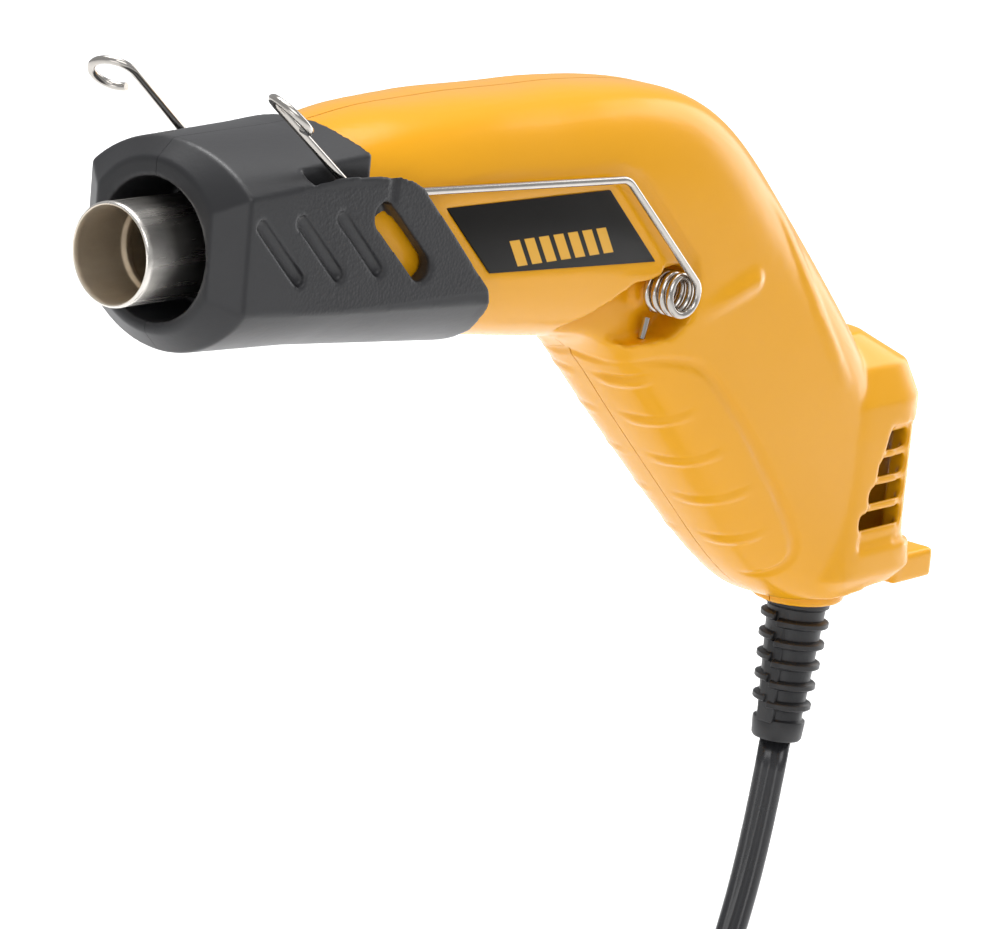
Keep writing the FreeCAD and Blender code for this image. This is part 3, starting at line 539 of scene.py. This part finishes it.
# the shell's fine shapes in millimetres, as points on its left side
GRIP_PANEL = [(-133.5, 0, -32.5), (-135.5, 4, -33.2), (-141.5, 13.5, -32.2), (-152, 17, -33.3),
              (-159, 17.7, -36.4),
              (-172, 17.7, -48.7), (-182.5, 17.3, -59.8), (-193, 16.6, -71.5), (-199, 15.6, -79.5),
              (-199.5, 13.5, -84), (-195, 8, -88), (-190, 2, -87), (-189, 0, -86)]
GRIP_RIBS = [
    [(-140.6, 2.6, -38.5), (-142.6, 8.6, -38.6), (-146.2, 13.2, -36.6)],
    [(-150.4, 3.0, -47.6), (-153.2, 10, -47.4), (-159.0, 15.2, -45.0)],
    [(-160.8, 3.2, -57.4), (-164.2, 10.4, -57.2), (-169.8, 15.3, -54.6)],
    [(-171.4, 3.2, -67.2), (-174.8, 10.4, -66.8), (-180.8, 15.3, -64.2)],
    [(-182.4, 3.0, -77.4), (-185.6, 9.4, -77.4), (-190.0, 13.6, -74.8)],
]
# height and width of each groove or ridge
PANEL_GROOVE = (0.55, 1.5)
RIB_RIDGE = (0.42, 1.7)
RIB_STEP = (0.38, 1.2)
RIB_STEP_PLACE = (1.3, 0, 1.5)
RIGHT_RIB_SHARE = 0.45
CREASE_RIDGE = (0.35, 2.6)
# the thumb ridge's line from above, rear end last: x, z
NIB = [(-155.0, -21.8), (-169.5, -17.6)]
NIB_RIDGE = (0.75, 3.4)
NIB_INNER_EDGE = 14
# the middle of the grip, from the shoulder to the butt: x, z
GRIP_LINE = np.array([(-150.0, -10.0), (-215.0, -80.0)])
# depth, and how far the top of the barrel is raised there
BARREL_EVENING = [(-165, 0), (-154, -0.15), (-141, -0.4), (-129, -0.1), (-117, 0.6), (-108, 0.65), (-100, 0.5),
                  (-93, 0.2), (-87, 0), (-82, -0.35), (-76, -0.45), (-70, -0.3), (-64, 0.05), (-40, 0)]
BARREL_EVENING_SPREAD = (-4, -2, 0, 2, 4)
CROWN_START = 8
CROWN_RISE = 10
SPINE_CREASE = [(-176, 14.8, -0.5), (-181, 14.9, -5), (-189, 16.4, -18), (-198, 17.9, -32.5),
                (-208, 18.6, -45.5)]


def faces_outward(place, side, normal):
    """Which vertices lie on the shell's outer face, as their normals point away from the grip's middle."""
    way = (GRIP_LINE[1] - GRIP_LINE[0]) / np.linalg.norm(GRIP_LINE[1] - GRIP_LINE[0])
    flat = side[:, [0, 2]] - GRIP_LINE[0]
    spine = GRIP_LINE[0] + (flat @ way)[:, None] * way
    outward = np.stack([side[:, 0] - spine[:, 0], place[:, 1], side[:, 2] - spine[:, 1]], 1)
    return (outward * normal).sum(1) > 0.2 * np.linalg.norm(outward, axis=1)


def nib_lift(side):
    """The thumb ridge behind each coil: a wedge that is steeper below than above."""
    near, share = to_line(side[:, [0, 2]], NIB)
    on_side = (side[:, 1] > NIB_INNER_EDGE).astype(float)
    line = np.interp(side[:, 0], [NIB[1][0], NIB[0][0]], [NIB[1][1], NIB[0][1]])
    above = np.clip((side[:, 2] - line) / 2, -1, 1)
    high, wide = NIB_RIDGE
    ridge = hill(near, wide) * np.where(above > 0, 1 - 0.75 * above, 1)
    return high * on_side * ridge * np.clip(0.35 + share, 0, 1)


def shape_housing(piece):
    """Raises and sinks the grip's panel, ribs, thumb ridge and crease on a shell's outer face."""
    mesh = piece.data
    place = vertex_values(mesh, "co") / MM
    normal = vertex_values(mesh, "normal")
    side = place.copy()
    side[:, 1] = np.abs(side[:, 1])
    outer = faces_outward(place, side, normal)
    near, _ = to_line(side, smooth_path(GRIP_PANEL))
    lift = -PANEL_GROOVE[0] * hill(near, PANEL_GROOVE[1])
    strength = np.where(place[:, 1] > 0, 1.0, RIGHT_RIB_SHARE)
    for rib in GRIP_RIBS:
        near, share = to_line(side, smooth_path(rib))
        lift += RIB_RIDGE[0] * strength * ends_fade(share, 5, 0.15) * hill(near, RIB_RIDGE[1])
        step = np.array(rib, float) + RIB_STEP_PLACE
        near, share = to_line(side, smooth_path(step))
        lift -= RIB_STEP[0] * strength * ends_fade(share, 5, 0.1) * hill(near, RIB_STEP[1])
    near, share = to_line(side, smooth_path(SPINE_CREASE))
    lift += CREASE_RIDGE[0] * ends_fade(share, 6, 0) * hill(near, CREASE_RIDGE[1])
    lift += nib_lift(side)
    place += normal * (lift * outer)[:, None]
    depths, rises = zip(*BARREL_EVENING)
    even = sum(np.interp(place[:, 0] + shift, depths, rises) for shift in BARREL_EVENING_SPREAD)
    crown = np.clip((place[:, 2] - CROWN_START) / CROWN_RISE, 0, 1)
    place[:, 2] += even / len(BARREL_EVENING_SPREAD) * crown * crown * (3 - 2 * crown)
    place_vertices(mesh, place * MM)


# the nose's lower rear corners: x, z, how far they are drawn in and how far round them
NOSE_CORNER = (-84.5, -13.5)
NOSE_CORNER_DRAW = 1.5
NOSE_CORNER_REACH = 6.5


def shape_nose(piece):
    """Rounds the lower rear corner of each side."""
    place = vertex_values(piece.data, "co") / MM
    near = np.hypot(place[:, 0] - NOSE_CORNER[0], place[:, 2] - NOSE_CORNER[1])
    place[:, 0] += NOSE_CORNER_DRAW * hill(near, NOSE_CORNER_REACH)
    place_vertices(piece.data, place * MM)


# plan of the post that closes the louvres' rear ends: x, half width
LOUVRE_POST = [(-234.3, 12.4), (-234.3, 17.5), (-236.4, 16.9), (-238.2, 15.4), (-239.3, 13.4), (-239.5, 12.4)]
LOUVRE_POST_TOP = -56.5
LOUVRE_POST_LONG = 25.5


def louvre_post(side):
    """The upright at the louvres' rear ends, which the shell is made one with."""
    clear_selection()
    bpy.ops.mesh.primitive_circle_add(vertices=len(LOUVRE_POST), radius=0.005, fill_type="NGON")
    post = bpy.context.object
    for vertex, (x, y) in zip(post.data.vertices, LOUVRE_POST):
        vertex.co = (x * MM, y * side * MM, LOUVRE_POST_TOP * MM)
    bpy.ops.object.mode_set(mode="EDIT")
    bpy.ops.mesh.select_all(action="SELECT")
    bpy.ops.mesh.extrude_region_move(TRANSFORM_OT_translate={"value": (0, 0, -LOUVRE_POST_LONG * MM)})
    bpy.ops.mesh.select_all(action="SELECT")
    bpy.ops.mesh.normals_make_consistent(inside=False)
    bpy.ops.object.mode_set(mode="OBJECT")
    return post


# half the width of each parting line, and how far past the split a half is drawn before it is cut
SHELL_GAP = 0.00014
NOSE_GAP = 0.00004
SEAM_SPARE = 0.0015
# how near the split a vertex counts as on it, and the size of the block that cuts there
SEAM_CLOSE = 0.00002
SEAM_CUTTER = (0.4, 0.04, 0.3)
# fineness of each shell's mesh
SHELL_VOXEL = 0.00072
NOSE_VOXEL = 0.00045


def past_seam(piece, side):
    """Draws the split face out past the split, so that rounding the piece leaves its seam edges alone."""
    for vertex in piece.data.vertices:
        if vertex.co.y * side < SEAM_CLOSE:
            vertex.co.y = -SEAM_SPARE * side


def cut_seam(piece, side, gap):
    """Cuts a half flat a hair short of the split, so that a fine parting line shows."""
    clear_selection()
    bpy.ops.mesh.primitive_cube_add(size=1, location=(-0.13, -side * (SEAM_CUTTER[1] / 2 - gap), -0.03))
    cutter = bpy.context.object
    cutter.scale = SEAM_CUTTER
    bpy.ops.object.transform_apply(location=True, rotation=True, scale=True)
    add_modifier(piece, "BOOLEAN", operation="DIFFERENCE", object=cutter, solver="MANIFOLD")
    bpy.data.objects.remove(cutter)


def moulded_shell(node, name, side, voxel, material, slot, shape, gap, extra=None):
    """A moulded half: the design's form with every edge rounded and its fine shapes worked into it."""
    piece = copy_of(node, name)
    past_seam(piece, side)
    if extra:
        piece = join_pieces([piece, extra], name)
    add_modifier(piece, "REMESH", mode="VOXEL", voxel_size=voxel, adaptivity=0.0)
    add_modifier(piece, "SMOOTH", factor=0.5, iterations=3)
    shape(piece)
    add_modifier(piece, "SMOOTH", factor=0.5, iterations=1)
    cut_seam(piece, side, gap)
    settle(piece, name, material)
    bpy.ops.object.shade_smooth_by_angle(angle=math.radians(60))
    finish_piece(piece, "housing", slot, node)


def moulded_shells(side, name):
    moulded_shell("housing_" + name, "body_shell_" + name, side, SHELL_VOXEL, YELLOW, "yellow_shell",
                  shape_housing, SHELL_GAP, louvre_post(side))
    moulded_shell("nose_" + name, "nose_shell_" + name, side, NOSE_VOXEL, SHROUD, "black_shroud",
                  shape_nose, NOSE_GAP)


# ---------------------------------------------------------------- the cord
CORD_START = Vector((-0.22175, 0, -0.13029))
CORD_ROUTE = [(-0.2189, 0, -0.152), (-0.2124, -0.0006, -0.178), (-0.2026, -0.0018, -0.203),
              (-0.190, -0.0032, -0.226), (-0.173, -0.0044, -0.2432), (-0.153, -0.005, -0.2531),
              (-0.137, -0.005, -0.2531)]
CORD_WIDE = 0.0070
CORD_THICK = 0.0036
CORE_STEPS = 13
CORE_ARC = math.radians(276)
# the flat cord's wide side where it leaves the sleeve, and how far down it turns level
CORD_START_SIDE = Vector((-0.42, 0.9, 0))
CORD_TURN_DROP = 0.08
COIL_CENTRE = Vector((-0.140, 0.041, 0))
COIL_START = math.radians(-72)
COIL_LOW = -0.2531
COIL_OUTER = 0.046
COIL_INNER = 0.0325
COIL_STEP = 0.00372
COIL_TURNS = 6.36
LAYER_TURNS = 2
COIL_LAYERS = 3
RISE_SHARE = 0.12
TURN_POINTS = 14
PLUG_REAR = Vector((-0.128, 0.076, -0.237))
PLUG_LEAD_IN = (-0.119, 0.0755, -0.2371)


def coil_points():
    """The stored turns: in along one layer, out along the next, in again and up to the plug."""
    points = []
    full_turns = LAYER_TURNS * COIL_LAYERS
    top = COIL_LOW + COIL_STEP * LAYER_TURNS
    for step in range(1, int(COIL_TURNS * TURN_POINTS) + 1):
        turn = step / TURN_POINTS
        layer = min(int(turn // LAYER_TURNS), COIL_LAYERS - 1)
        share = turn / LAYER_TURNS - layer
        inward = 1 - share if layer == 1 else share
        reach = COIL_OUTER + (COIL_INNER - COIL_OUTER) * inward
        rise = np.clip(1 - (1 - share) / RISE_SHARE, 0, 1) if layer < COIL_LAYERS - 1 else 0
        height = COIL_LOW + COIL_STEP * (layer + rise)
        if turn > full_turns:
            share = (turn - full_turns) / (COIL_TURNS - full_turns)
            height = top + min(share * 1.6, 1) * (PLUG_REAR.z - top)
            reach = COIL_INNER + 0.002 * share
        angle = COIL_START + 2 * math.pi * turn
        points.append((COIL_CENTRE.x + reach * math.cos(angle),
                       COIL_CENTRE.y + reach * math.sin(angle), height))
    return points


def spline_points(points):
    """The smooth line that a cord follows, read from a NURBS curve through its control points."""
    data = bpy.data.curves.new("cord_line", "CURVE")
    data.dimensions = "3D"
    spline = data.splines.new("NURBS")
    spline.points.add(len(points) - 1)
    for point, place in zip(spline.points, points):
        point.co = (*place, 1)
    spline.order_u = 3
    spline.use_endpoint_u = True
    spline.resolution_u = 6
    line = bpy.data.objects.new("cord_line", data)
    bpy.context.scene.collection.objects.link(line)
    bpy.context.view_layer.update()
    mesh = bpy.data.meshes.new_from_object(line)
    path = [vertex.co.copy() for vertex in mesh.vertices]
    bpy.data.objects.remove(line)
    bpy.data.meshes.remove(mesh)
    return path


def twin_section():
    """The outline of a flat twin cord: two round cores with a shallow valley between them."""
    core = CORD_THICK / 2
    middle = CORD_WIDE / 2 - core
    outline = []
    for centre, turn in ((middle, 0), (-middle, math.pi)):
        for step in range(CORE_STEPS):
            angle = turn + CORE_ARC * (step / (CORE_STEPS - 1) - 0.5)
            outline.append((centre + core * math.cos(angle), core * math.sin(angle)))
    return outline


def cord_ring(build, outline, before, place, after):
    """One ring of the flat cord, square to its line, with its wide side turning level on the way down."""
    way = (after - before).normalized()
    steep = Vector((way.x, way.y, 0)).length <= 0.02
    flat = Vector((0, 1, 0)) if steep else Vector((-way.y, way.x, 0)).normalized()
    drop = np.clip((CORD_START.z - place.z) / CORD_TURN_DROP, 0, 1)
    wide = CORD_START_SIDE.lerp(flat, drop)
    wide = (wide - way * wide.dot(way)).normalized()
    thick = way.cross(wide)
    return [build.verts.new(place + wide * across + thick * up) for across, up in outline]


def cord_piece():
    """The flat twin cord, from the strain relief to the plug, and the line that it follows."""
    path = spline_points([tuple(CORD_START)] + CORD_ROUTE + coil_points() + [PLUG_LEAD_IN, tuple(PLUG_REAR)])
    outline = twin_section()
    build = bmesh.new()
    rings = [cord_ring(build, outline, *span) for span in zip(path[:1] + path, path, path[1:] + path[-1:])]
    for one, two in zip(rings, rings[1:]):
        for corner in range(len(outline)):
            other = (corner + 1) % len(outline)
            build.faces.new((one[corner], one[other], two[other], two[corner]))
    build.faces.new(list(reversed(rings[0])))
    build.faces.new(rings[-1])
    bmesh.ops.recalc_face_normals(build, faces=build.faces)
    mesh = bpy.data.meshes.new("mains_cord")
    build.to_mesh(mesh)
    build.free()
    cord = bpy.data.objects.new("mains_cord", mesh)
    bpy.context.scene.collection.objects.link(cord)
    settle(cord, "mains_cord", CORD_COVER)
    for face in mesh.polygons:
        face.use_smooth = True
    finish_piece(cord, "housing", "cord_cover", "cord", "cord_coil")
    return cord, path


# ---------------------------------------------------------------- nozzle
def nozzle():
    """The plated tube: a rolled rim, a pressed bead inside it and a wider tube behind."""
    outside = [(78, 10.2), (23.2, 10.2), (22.6, 10.1), (21.9, 9.6), (21, 9.5), (1.5, 9.5), (0.9, 9.56)]
    rim = [(0.45, 9.52), (0.15, 9.35), (0.02, 9.12), (0.15, 8.92), (0.5, 8.8), (1.2, 8.76)]
    inside = [(11.6, 8.78), (12.1, 8.6), (12.5, 8.2), (12.9, 8.1), (13.4, 8.1), (13.8, 8.2), (14.2, 8.6),
              (14.7, 8.78), (21.6, 8.8), (22.6, 9.3), (78, 9.4)]
    tube = lathe("outlet_tube", outside + rim + inside, (0, 0, 0), (-1, 0, 0), NICKEL, 128, hollow=True)
    tube.data.materials.append(WARM_NICKEL)
    for face in tube.data.polygons:
        away = Vector((0, face.center.y, face.center.z)).normalized()
        if face.normal.dot(away) < -0.3:
            face.material_index = 1
    finish_piece(tube, "housing", "nozzle_steel", "nozzle_tube")


# ---------------------------------------------------------------- labels
def label(name):
    film = copy_of("label_" + name, "side_film_" + name)
    settle(film, "side_film_" + name, FILM)
    rounded_edges(film, 0.00018, 2)
    finish_piece(film, "housing", "label_film", "label_" + name)


# ---------------------------------------------------------------- stand wires
PIVOT = Vector((-143.8, 20.8, -18.2))
WIRE_RADIUS = 0.8
STAND_COIL_RADIUS = 3.9
STAND_COIL_PITCH = 1.9
STAND_COIL_TURNS = 4
LOOP_RADIUS = 4.35
LOOP_ARC = 4.75
LOOP_STEPS = 40
COIL_TURN_STEPS = 48
BEND_RADIUS = 5.0
BEND_STEPS = 10
SLOT_BEND = Vector((-43.4, 18.9, 10.6))
LABEL_BEND = Vector((-122.0, 20.2, 7.2))
FOOT_WAY = Vector((0.776, -0.048, 0.629)).normalized()
FOOT_LONG = 28.1
LOOP_WAY = Vector((0.212, 0.959, -0.188)).normalized()
TAIL_LINE = [(-142.6, 12.4, -24.0), (-142.1, 12.4, -26.0), (-141.55, 12.4, -28.2)]


def rounded_corner(before, corner, after):
    """The points of an arc that rounds a corner of the wire."""
    to_before = (before - corner).normalized()
    to_after = (after - corner).normalized()
    half = to_before.angle(to_after) / 2
    reach = BEND_RADIUS / math.tan(half)
    middle = corner + (to_before + to_after).normalized() * BEND_RADIUS / math.sin(half)
    start = corner + to_before * reach - middle
    end = corner + to_after * reach - middle
    return [middle + start.slerp(end, step / BEND_STEPS) * BEND_RADIUS for step in range(BEND_STEPS + 1)]


def stand_line():
    """The centre line of the left leg in millimetres: foot loop, run beside the barrel and coil."""
    foot_top = SLOT_BEND + FOOT_WAY * FOOT_LONG
    loop_centre = foot_top + LOOP_WAY * LOOP_RADIUS
    across_x = PIVOT.x - LABEL_BEND.x
    across_z = PIVOT.z - LABEL_BEND.z
    lean = math.atan2(across_z, across_x) - math.asin(STAND_COIL_RADIUS / math.hypot(across_x, across_z))
    start = lean - math.pi / 2
    coil_start = PIVOT + Vector((math.cos(start), 0, math.sin(start))) * STAND_COIL_RADIUS
    line = []
    for step in range(LOOP_STEPS + 1):
        angle = LOOP_ARC * (1 - step / LOOP_STEPS)
        line.append(loop_centre + (FOOT_WAY * math.sin(angle) - LOOP_WAY * math.cos(angle)) * LOOP_RADIUS)
    line += rounded_corner(foot_top, SLOT_BEND, LABEL_BEND)
    line += rounded_corner(SLOT_BEND, LABEL_BEND, coil_start)
    for step in range(COIL_TURN_STEPS * STAND_COIL_TURNS + 1):
        turn = step / COIL_TURN_STEPS
        angle = start + 2 * math.pi * turn
        line.append(PIVOT + Vector((STAND_COIL_RADIUS * math.cos(angle), -STAND_COIL_PITCH * turn,
                                    STAND_COIL_RADIUS * math.sin(angle))))
    return line


def wire_piece(name, line, side):
    """A round wire along a line of points in millimetres, on the left or mirrored to the right."""
    data = bpy.data.curves.new(name, "CURVE")
    data.dimensions = "3D"
    data.bevel_depth = WIRE_RADIUS * MM
    data.bevel_resolution = 5
    data.use_fill_caps = True
    spline = data.splines.new("POLY")
    spline.points.add(len(line) - 1)
    for point, (x, y, z) in zip(spline.points, line):
        point.co = (x * MM, y * side * MM, z * MM, 1)
    wire = bpy.data.objects.new(name, data)
    bpy.context.scene.collection.objects.link(wire)
    only(wire)
    bpy.ops.object.convert(target="MESH")
    wire = bpy.context.object
    settle(wire, name, WIRE)
    bpy.ops.object.shade_smooth_by_angle(angle=math.radians(50))
    return wire


def stand_wire(side, name):
    wire = wire_piece("stand_wire_" + name, stand_line(), side)
    finish_piece(wire, name + "_leg", "stand_wire", "stand_leg_" + name)
    tail = wire_piece("stand_tail_wire_" + name, TAIL_LINE, side)
    finish_piece(tail, "housing", "stand_wire", "stand_tail_" + name)


# ---------------------------------------------------------------- strain relief
RELIEF_BASE = Vector((-0.2244, 0, -0.0984))
RELIEF_AXIS = Vector((0.083, 0, -1)).normalized()
RELIEF_LONG = 32
RIB_PITCH = 4.65
RIB_COUNT = 5
FIRST_RIB_LEFT = 5.0
FIRST_RIB_RIGHT = 3.8
WEB_SIZE = (0.0022, 0.0042, 0.0262)
WEB_PLACE = 0.0062
WEB_TAPER = 0.0013
WEB_MIDDLE = -0.0145


def relief_radius(along, base, tip):
    """A radius that tapers along the sleeve."""
    return base + (tip - base) * along / RELIEF_LONG


def half_rib(along, side):
    """A raised half ring on one side of the sleeve."""
    inner = relief_radius(along, 5.4, 4.2)
    low = relief_radius(along, 6.7, 5.2)
    high = relief_radius(along, 7.9, 6.1)
    outline = [(along - 1.1, inner), (along - 1.1, low), (along - 0.62, high - 0.12), (along - 0.45, high),
               (along + 0.45, high), (along + 0.62, high - 0.12), (along + 1.1, low), (along + 1.1, inner)]
    rib = lathe("relief_rib", outline, RELIEF_BASE, RELIEF_AXIS, RUBBER, 64, hollow=True)
    only(rib)
    bpy.ops.object.mode_set(mode="EDIT")
    bpy.ops.mesh.select_all(action="SELECT")
    bpy.ops.mesh.bisect(plane_co=(0, 0.0004 * side, 0), plane_no=(0, side, 0), use_fill=True, clear_inner=True)
    bpy.ops.object.mode_set(mode="OBJECT")
    return rib


def relief_web(sign):
    """The strip that joins the ribs' ends, down the front or the back of the sleeve."""
    clear_selection()
    bpy.ops.mesh.primitive_cube_add(size=1, location=(sign * WEB_PLACE, 0, WEB_MIDDLE))
    web = bpy.context.object
    web.scale = WEB_SIZE
    bpy.ops.object.transform_apply(location=True, rotation=False, scale=True)
    for face in web.data.polygons:
        face.select = face.normal.z < -0.5
    bpy.ops.object.mode_set(mode="EDIT")
    bpy.ops.mesh.select_mode(type="FACE")
    bpy.ops.transform.translate(value=(-sign * WEB_TAPER, 0, 0))
    bpy.ops.object.mode_set(mode="OBJECT")
    turn = Vector((0, 0, -1)).rotation_difference(RELIEF_AXIS).to_matrix().to_4x4()
    web.matrix_world = Matrix.Translation(RELIEF_BASE) @ turn
    settle(web, "relief_web", RUBBER)
    rounded_edges(web, 0.0004, 2)
    return web


def strain_relief():
    """The ribbed sleeve: a tapered core with a collar, two webs, and half ribs set half a pitch apart."""
    outline = [(-0.5, 7.3), (1.2, 7.2), (1.8, 6.5), (26.4, 5.0), (26.7, 5.1), (27.1, 5.75), (27.5, 5.85),
               (31.0, 5.6), (31.6, 5.2), (31.75, 4.6)]
    core = lathe("relief_core", outline, RELIEF_BASE, RELIEF_AXIS, RUBBER, 72)
    pieces = [core, relief_web(1), relief_web(-1)]
    for number in range(RIB_COUNT):
        pieces.append(half_rib(FIRST_RIB_LEFT + RIB_PITCH * number, 1))
        pieces.append(half_rib(FIRST_RIB_RIGHT + RIB_PITCH * number, -1))
    sleeve = join_pieces(pieces, "relief_sleeve")
    finish_piece(sleeve, "housing", "relief_rubber", "strain_relief")


# ---------------------------------------------------------------- plug
PLUG_SIZE = (0.0256, 0.0216, 0.0126)
PLUG_MIDDLE = Vector((-0.013, 0, 0))


def plug():
    """The plug's body, narrower where the cord goes in."""
    clear_selection()
    bpy.ops.mesh.primitive_cube_add(size=1, location=PLUG_REAR + PLUG_MIDDLE)
    body = bpy.context.object
    body.scale = PLUG_SIZE
    bpy.ops.object.transform_apply(location=True, rotation=True, scale=True)
    for face in body.data.polygons:
        face.select = face.normal.x > 0.5
    bpy.ops.object.mode_set(mode="EDIT")
    bpy.ops.mesh.select_mode(type="FACE")
    bpy.ops.transform.resize(value=(1, 0.62, 0.8), center_override=PLUG_REAR)
    bpy.ops.object.mode_set(mode="OBJECT")
    settle(body, "cord_plug", BLACK_PLASTIC)
    rounded_edges(body, 0.0022, 4)
    return finish_piece(body, "housing", "cord_cover", "plug_body")


# ---------------------------------------------------------------- screws and knob
SCREWS = [(-95, -18.0), (-92, 16.5), (-133, 12.5), (-177, -37.0), (-204.5, -88.5)]
SCREW_OUTLINE = [(0, 2.15), (0.12, 2.45), (0.5, 2.68), (1.9, 2.68), (2.0, 2.6), (2.0, 1.4), (15.7, 1.4),
                 (16, 1.1)]
SCREW_HEAD_Y = -8.5
SCREW_TWIST = 0.4
CROSS_SIZE = (0.0034, 0.0018, 0.00075)


def cut_slot(screw, place, turn):
    """Cuts one slot of a cross recess into a screw's head."""
    clear_selection()
    bpy.ops.mesh.primitive_cube_add(size=1, location=place)
    blade = bpy.context.object
    blade.scale = CROSS_SIZE
    blade.rotation_euler = (0, turn, 0)
    bpy.ops.object.transform_apply(location=True, rotation=True, scale=True)
    add_modifier(screw, "BOOLEAN", operation="DIFFERENCE", object=blade, solver="EXACT")
    bpy.data.objects.remove(blade)


def screws():
    pieces = []
    for number, (x, z) in enumerate(SCREWS):
        screw = lathe("screw", SCREW_OUTLINE, (x * MM, SCREW_HEAD_Y * MM, z * MM), (0, 1, 0), ZINC, 48)
        for turn in (SCREW_TWIST * number, SCREW_TWIST * number + math.pi / 2):
            cut_slot(screw, (x * MM, (SCREW_HEAD_Y + 0.1) * MM, z * MM), turn)
        pieces.append(screw)
    finish_piece(join_pieces(pieces, "cross_screws"), "housing", "zinc_screw", "housing_screws")


def knob():
    """The slide's knob, its edges rounded."""
    piece = copy_of("switch_knob", "slide_knob")
    settle(piece, "slide_knob", BLACK_PLASTIC)
    rounded_edges(piece, 0.0004, 3, 30)
    finish_piece(piece, "knob", "knob_plastic", "switch_knob")


# ---------------------------------------------------------------- the design's own pieces, with their finishes
FINISHES = {
    "mica_lining": MICA, "heater_boards": MICA, "heating_coil": HEATER, "thermal_cutoff": STEEL,
    "tube_collar": MICA, "impeller": BLACK_PLASTIC, "motor_shaft": STEEL, "fan_motor": STEEL,
    "motor_ring": BLACK_PLASTIC, "switch_body": BLACK_PLASTIC, "rectifier_board": BOARD,
    "supply_leads": CORD_COVER, "cord_clamp": BLACK_PLASTIC, "plug_blades": BRASS,
}


def finish_design_pieces():
    for name, finish in FINISHES.items():
        nodes[name].data.materials.clear()
        nodes[name].data.materials.append(finish)


# ---------------------------------------------------------------- making
SIDES = ((1, "left"), (-1, "right"))
set_camera()
set_lights()
cord, cord_path = cord_piece()
for side, side_name in SIDES:
    moulded_shells(side, side_name)
nozzle()
for side, side_name in SIDES:
    label(side_name)
    stand_wire(side, side_name)
strain_relief()
cord_plug = plug()
screws()
knob()
finish_design_pieces()
studio_floor()
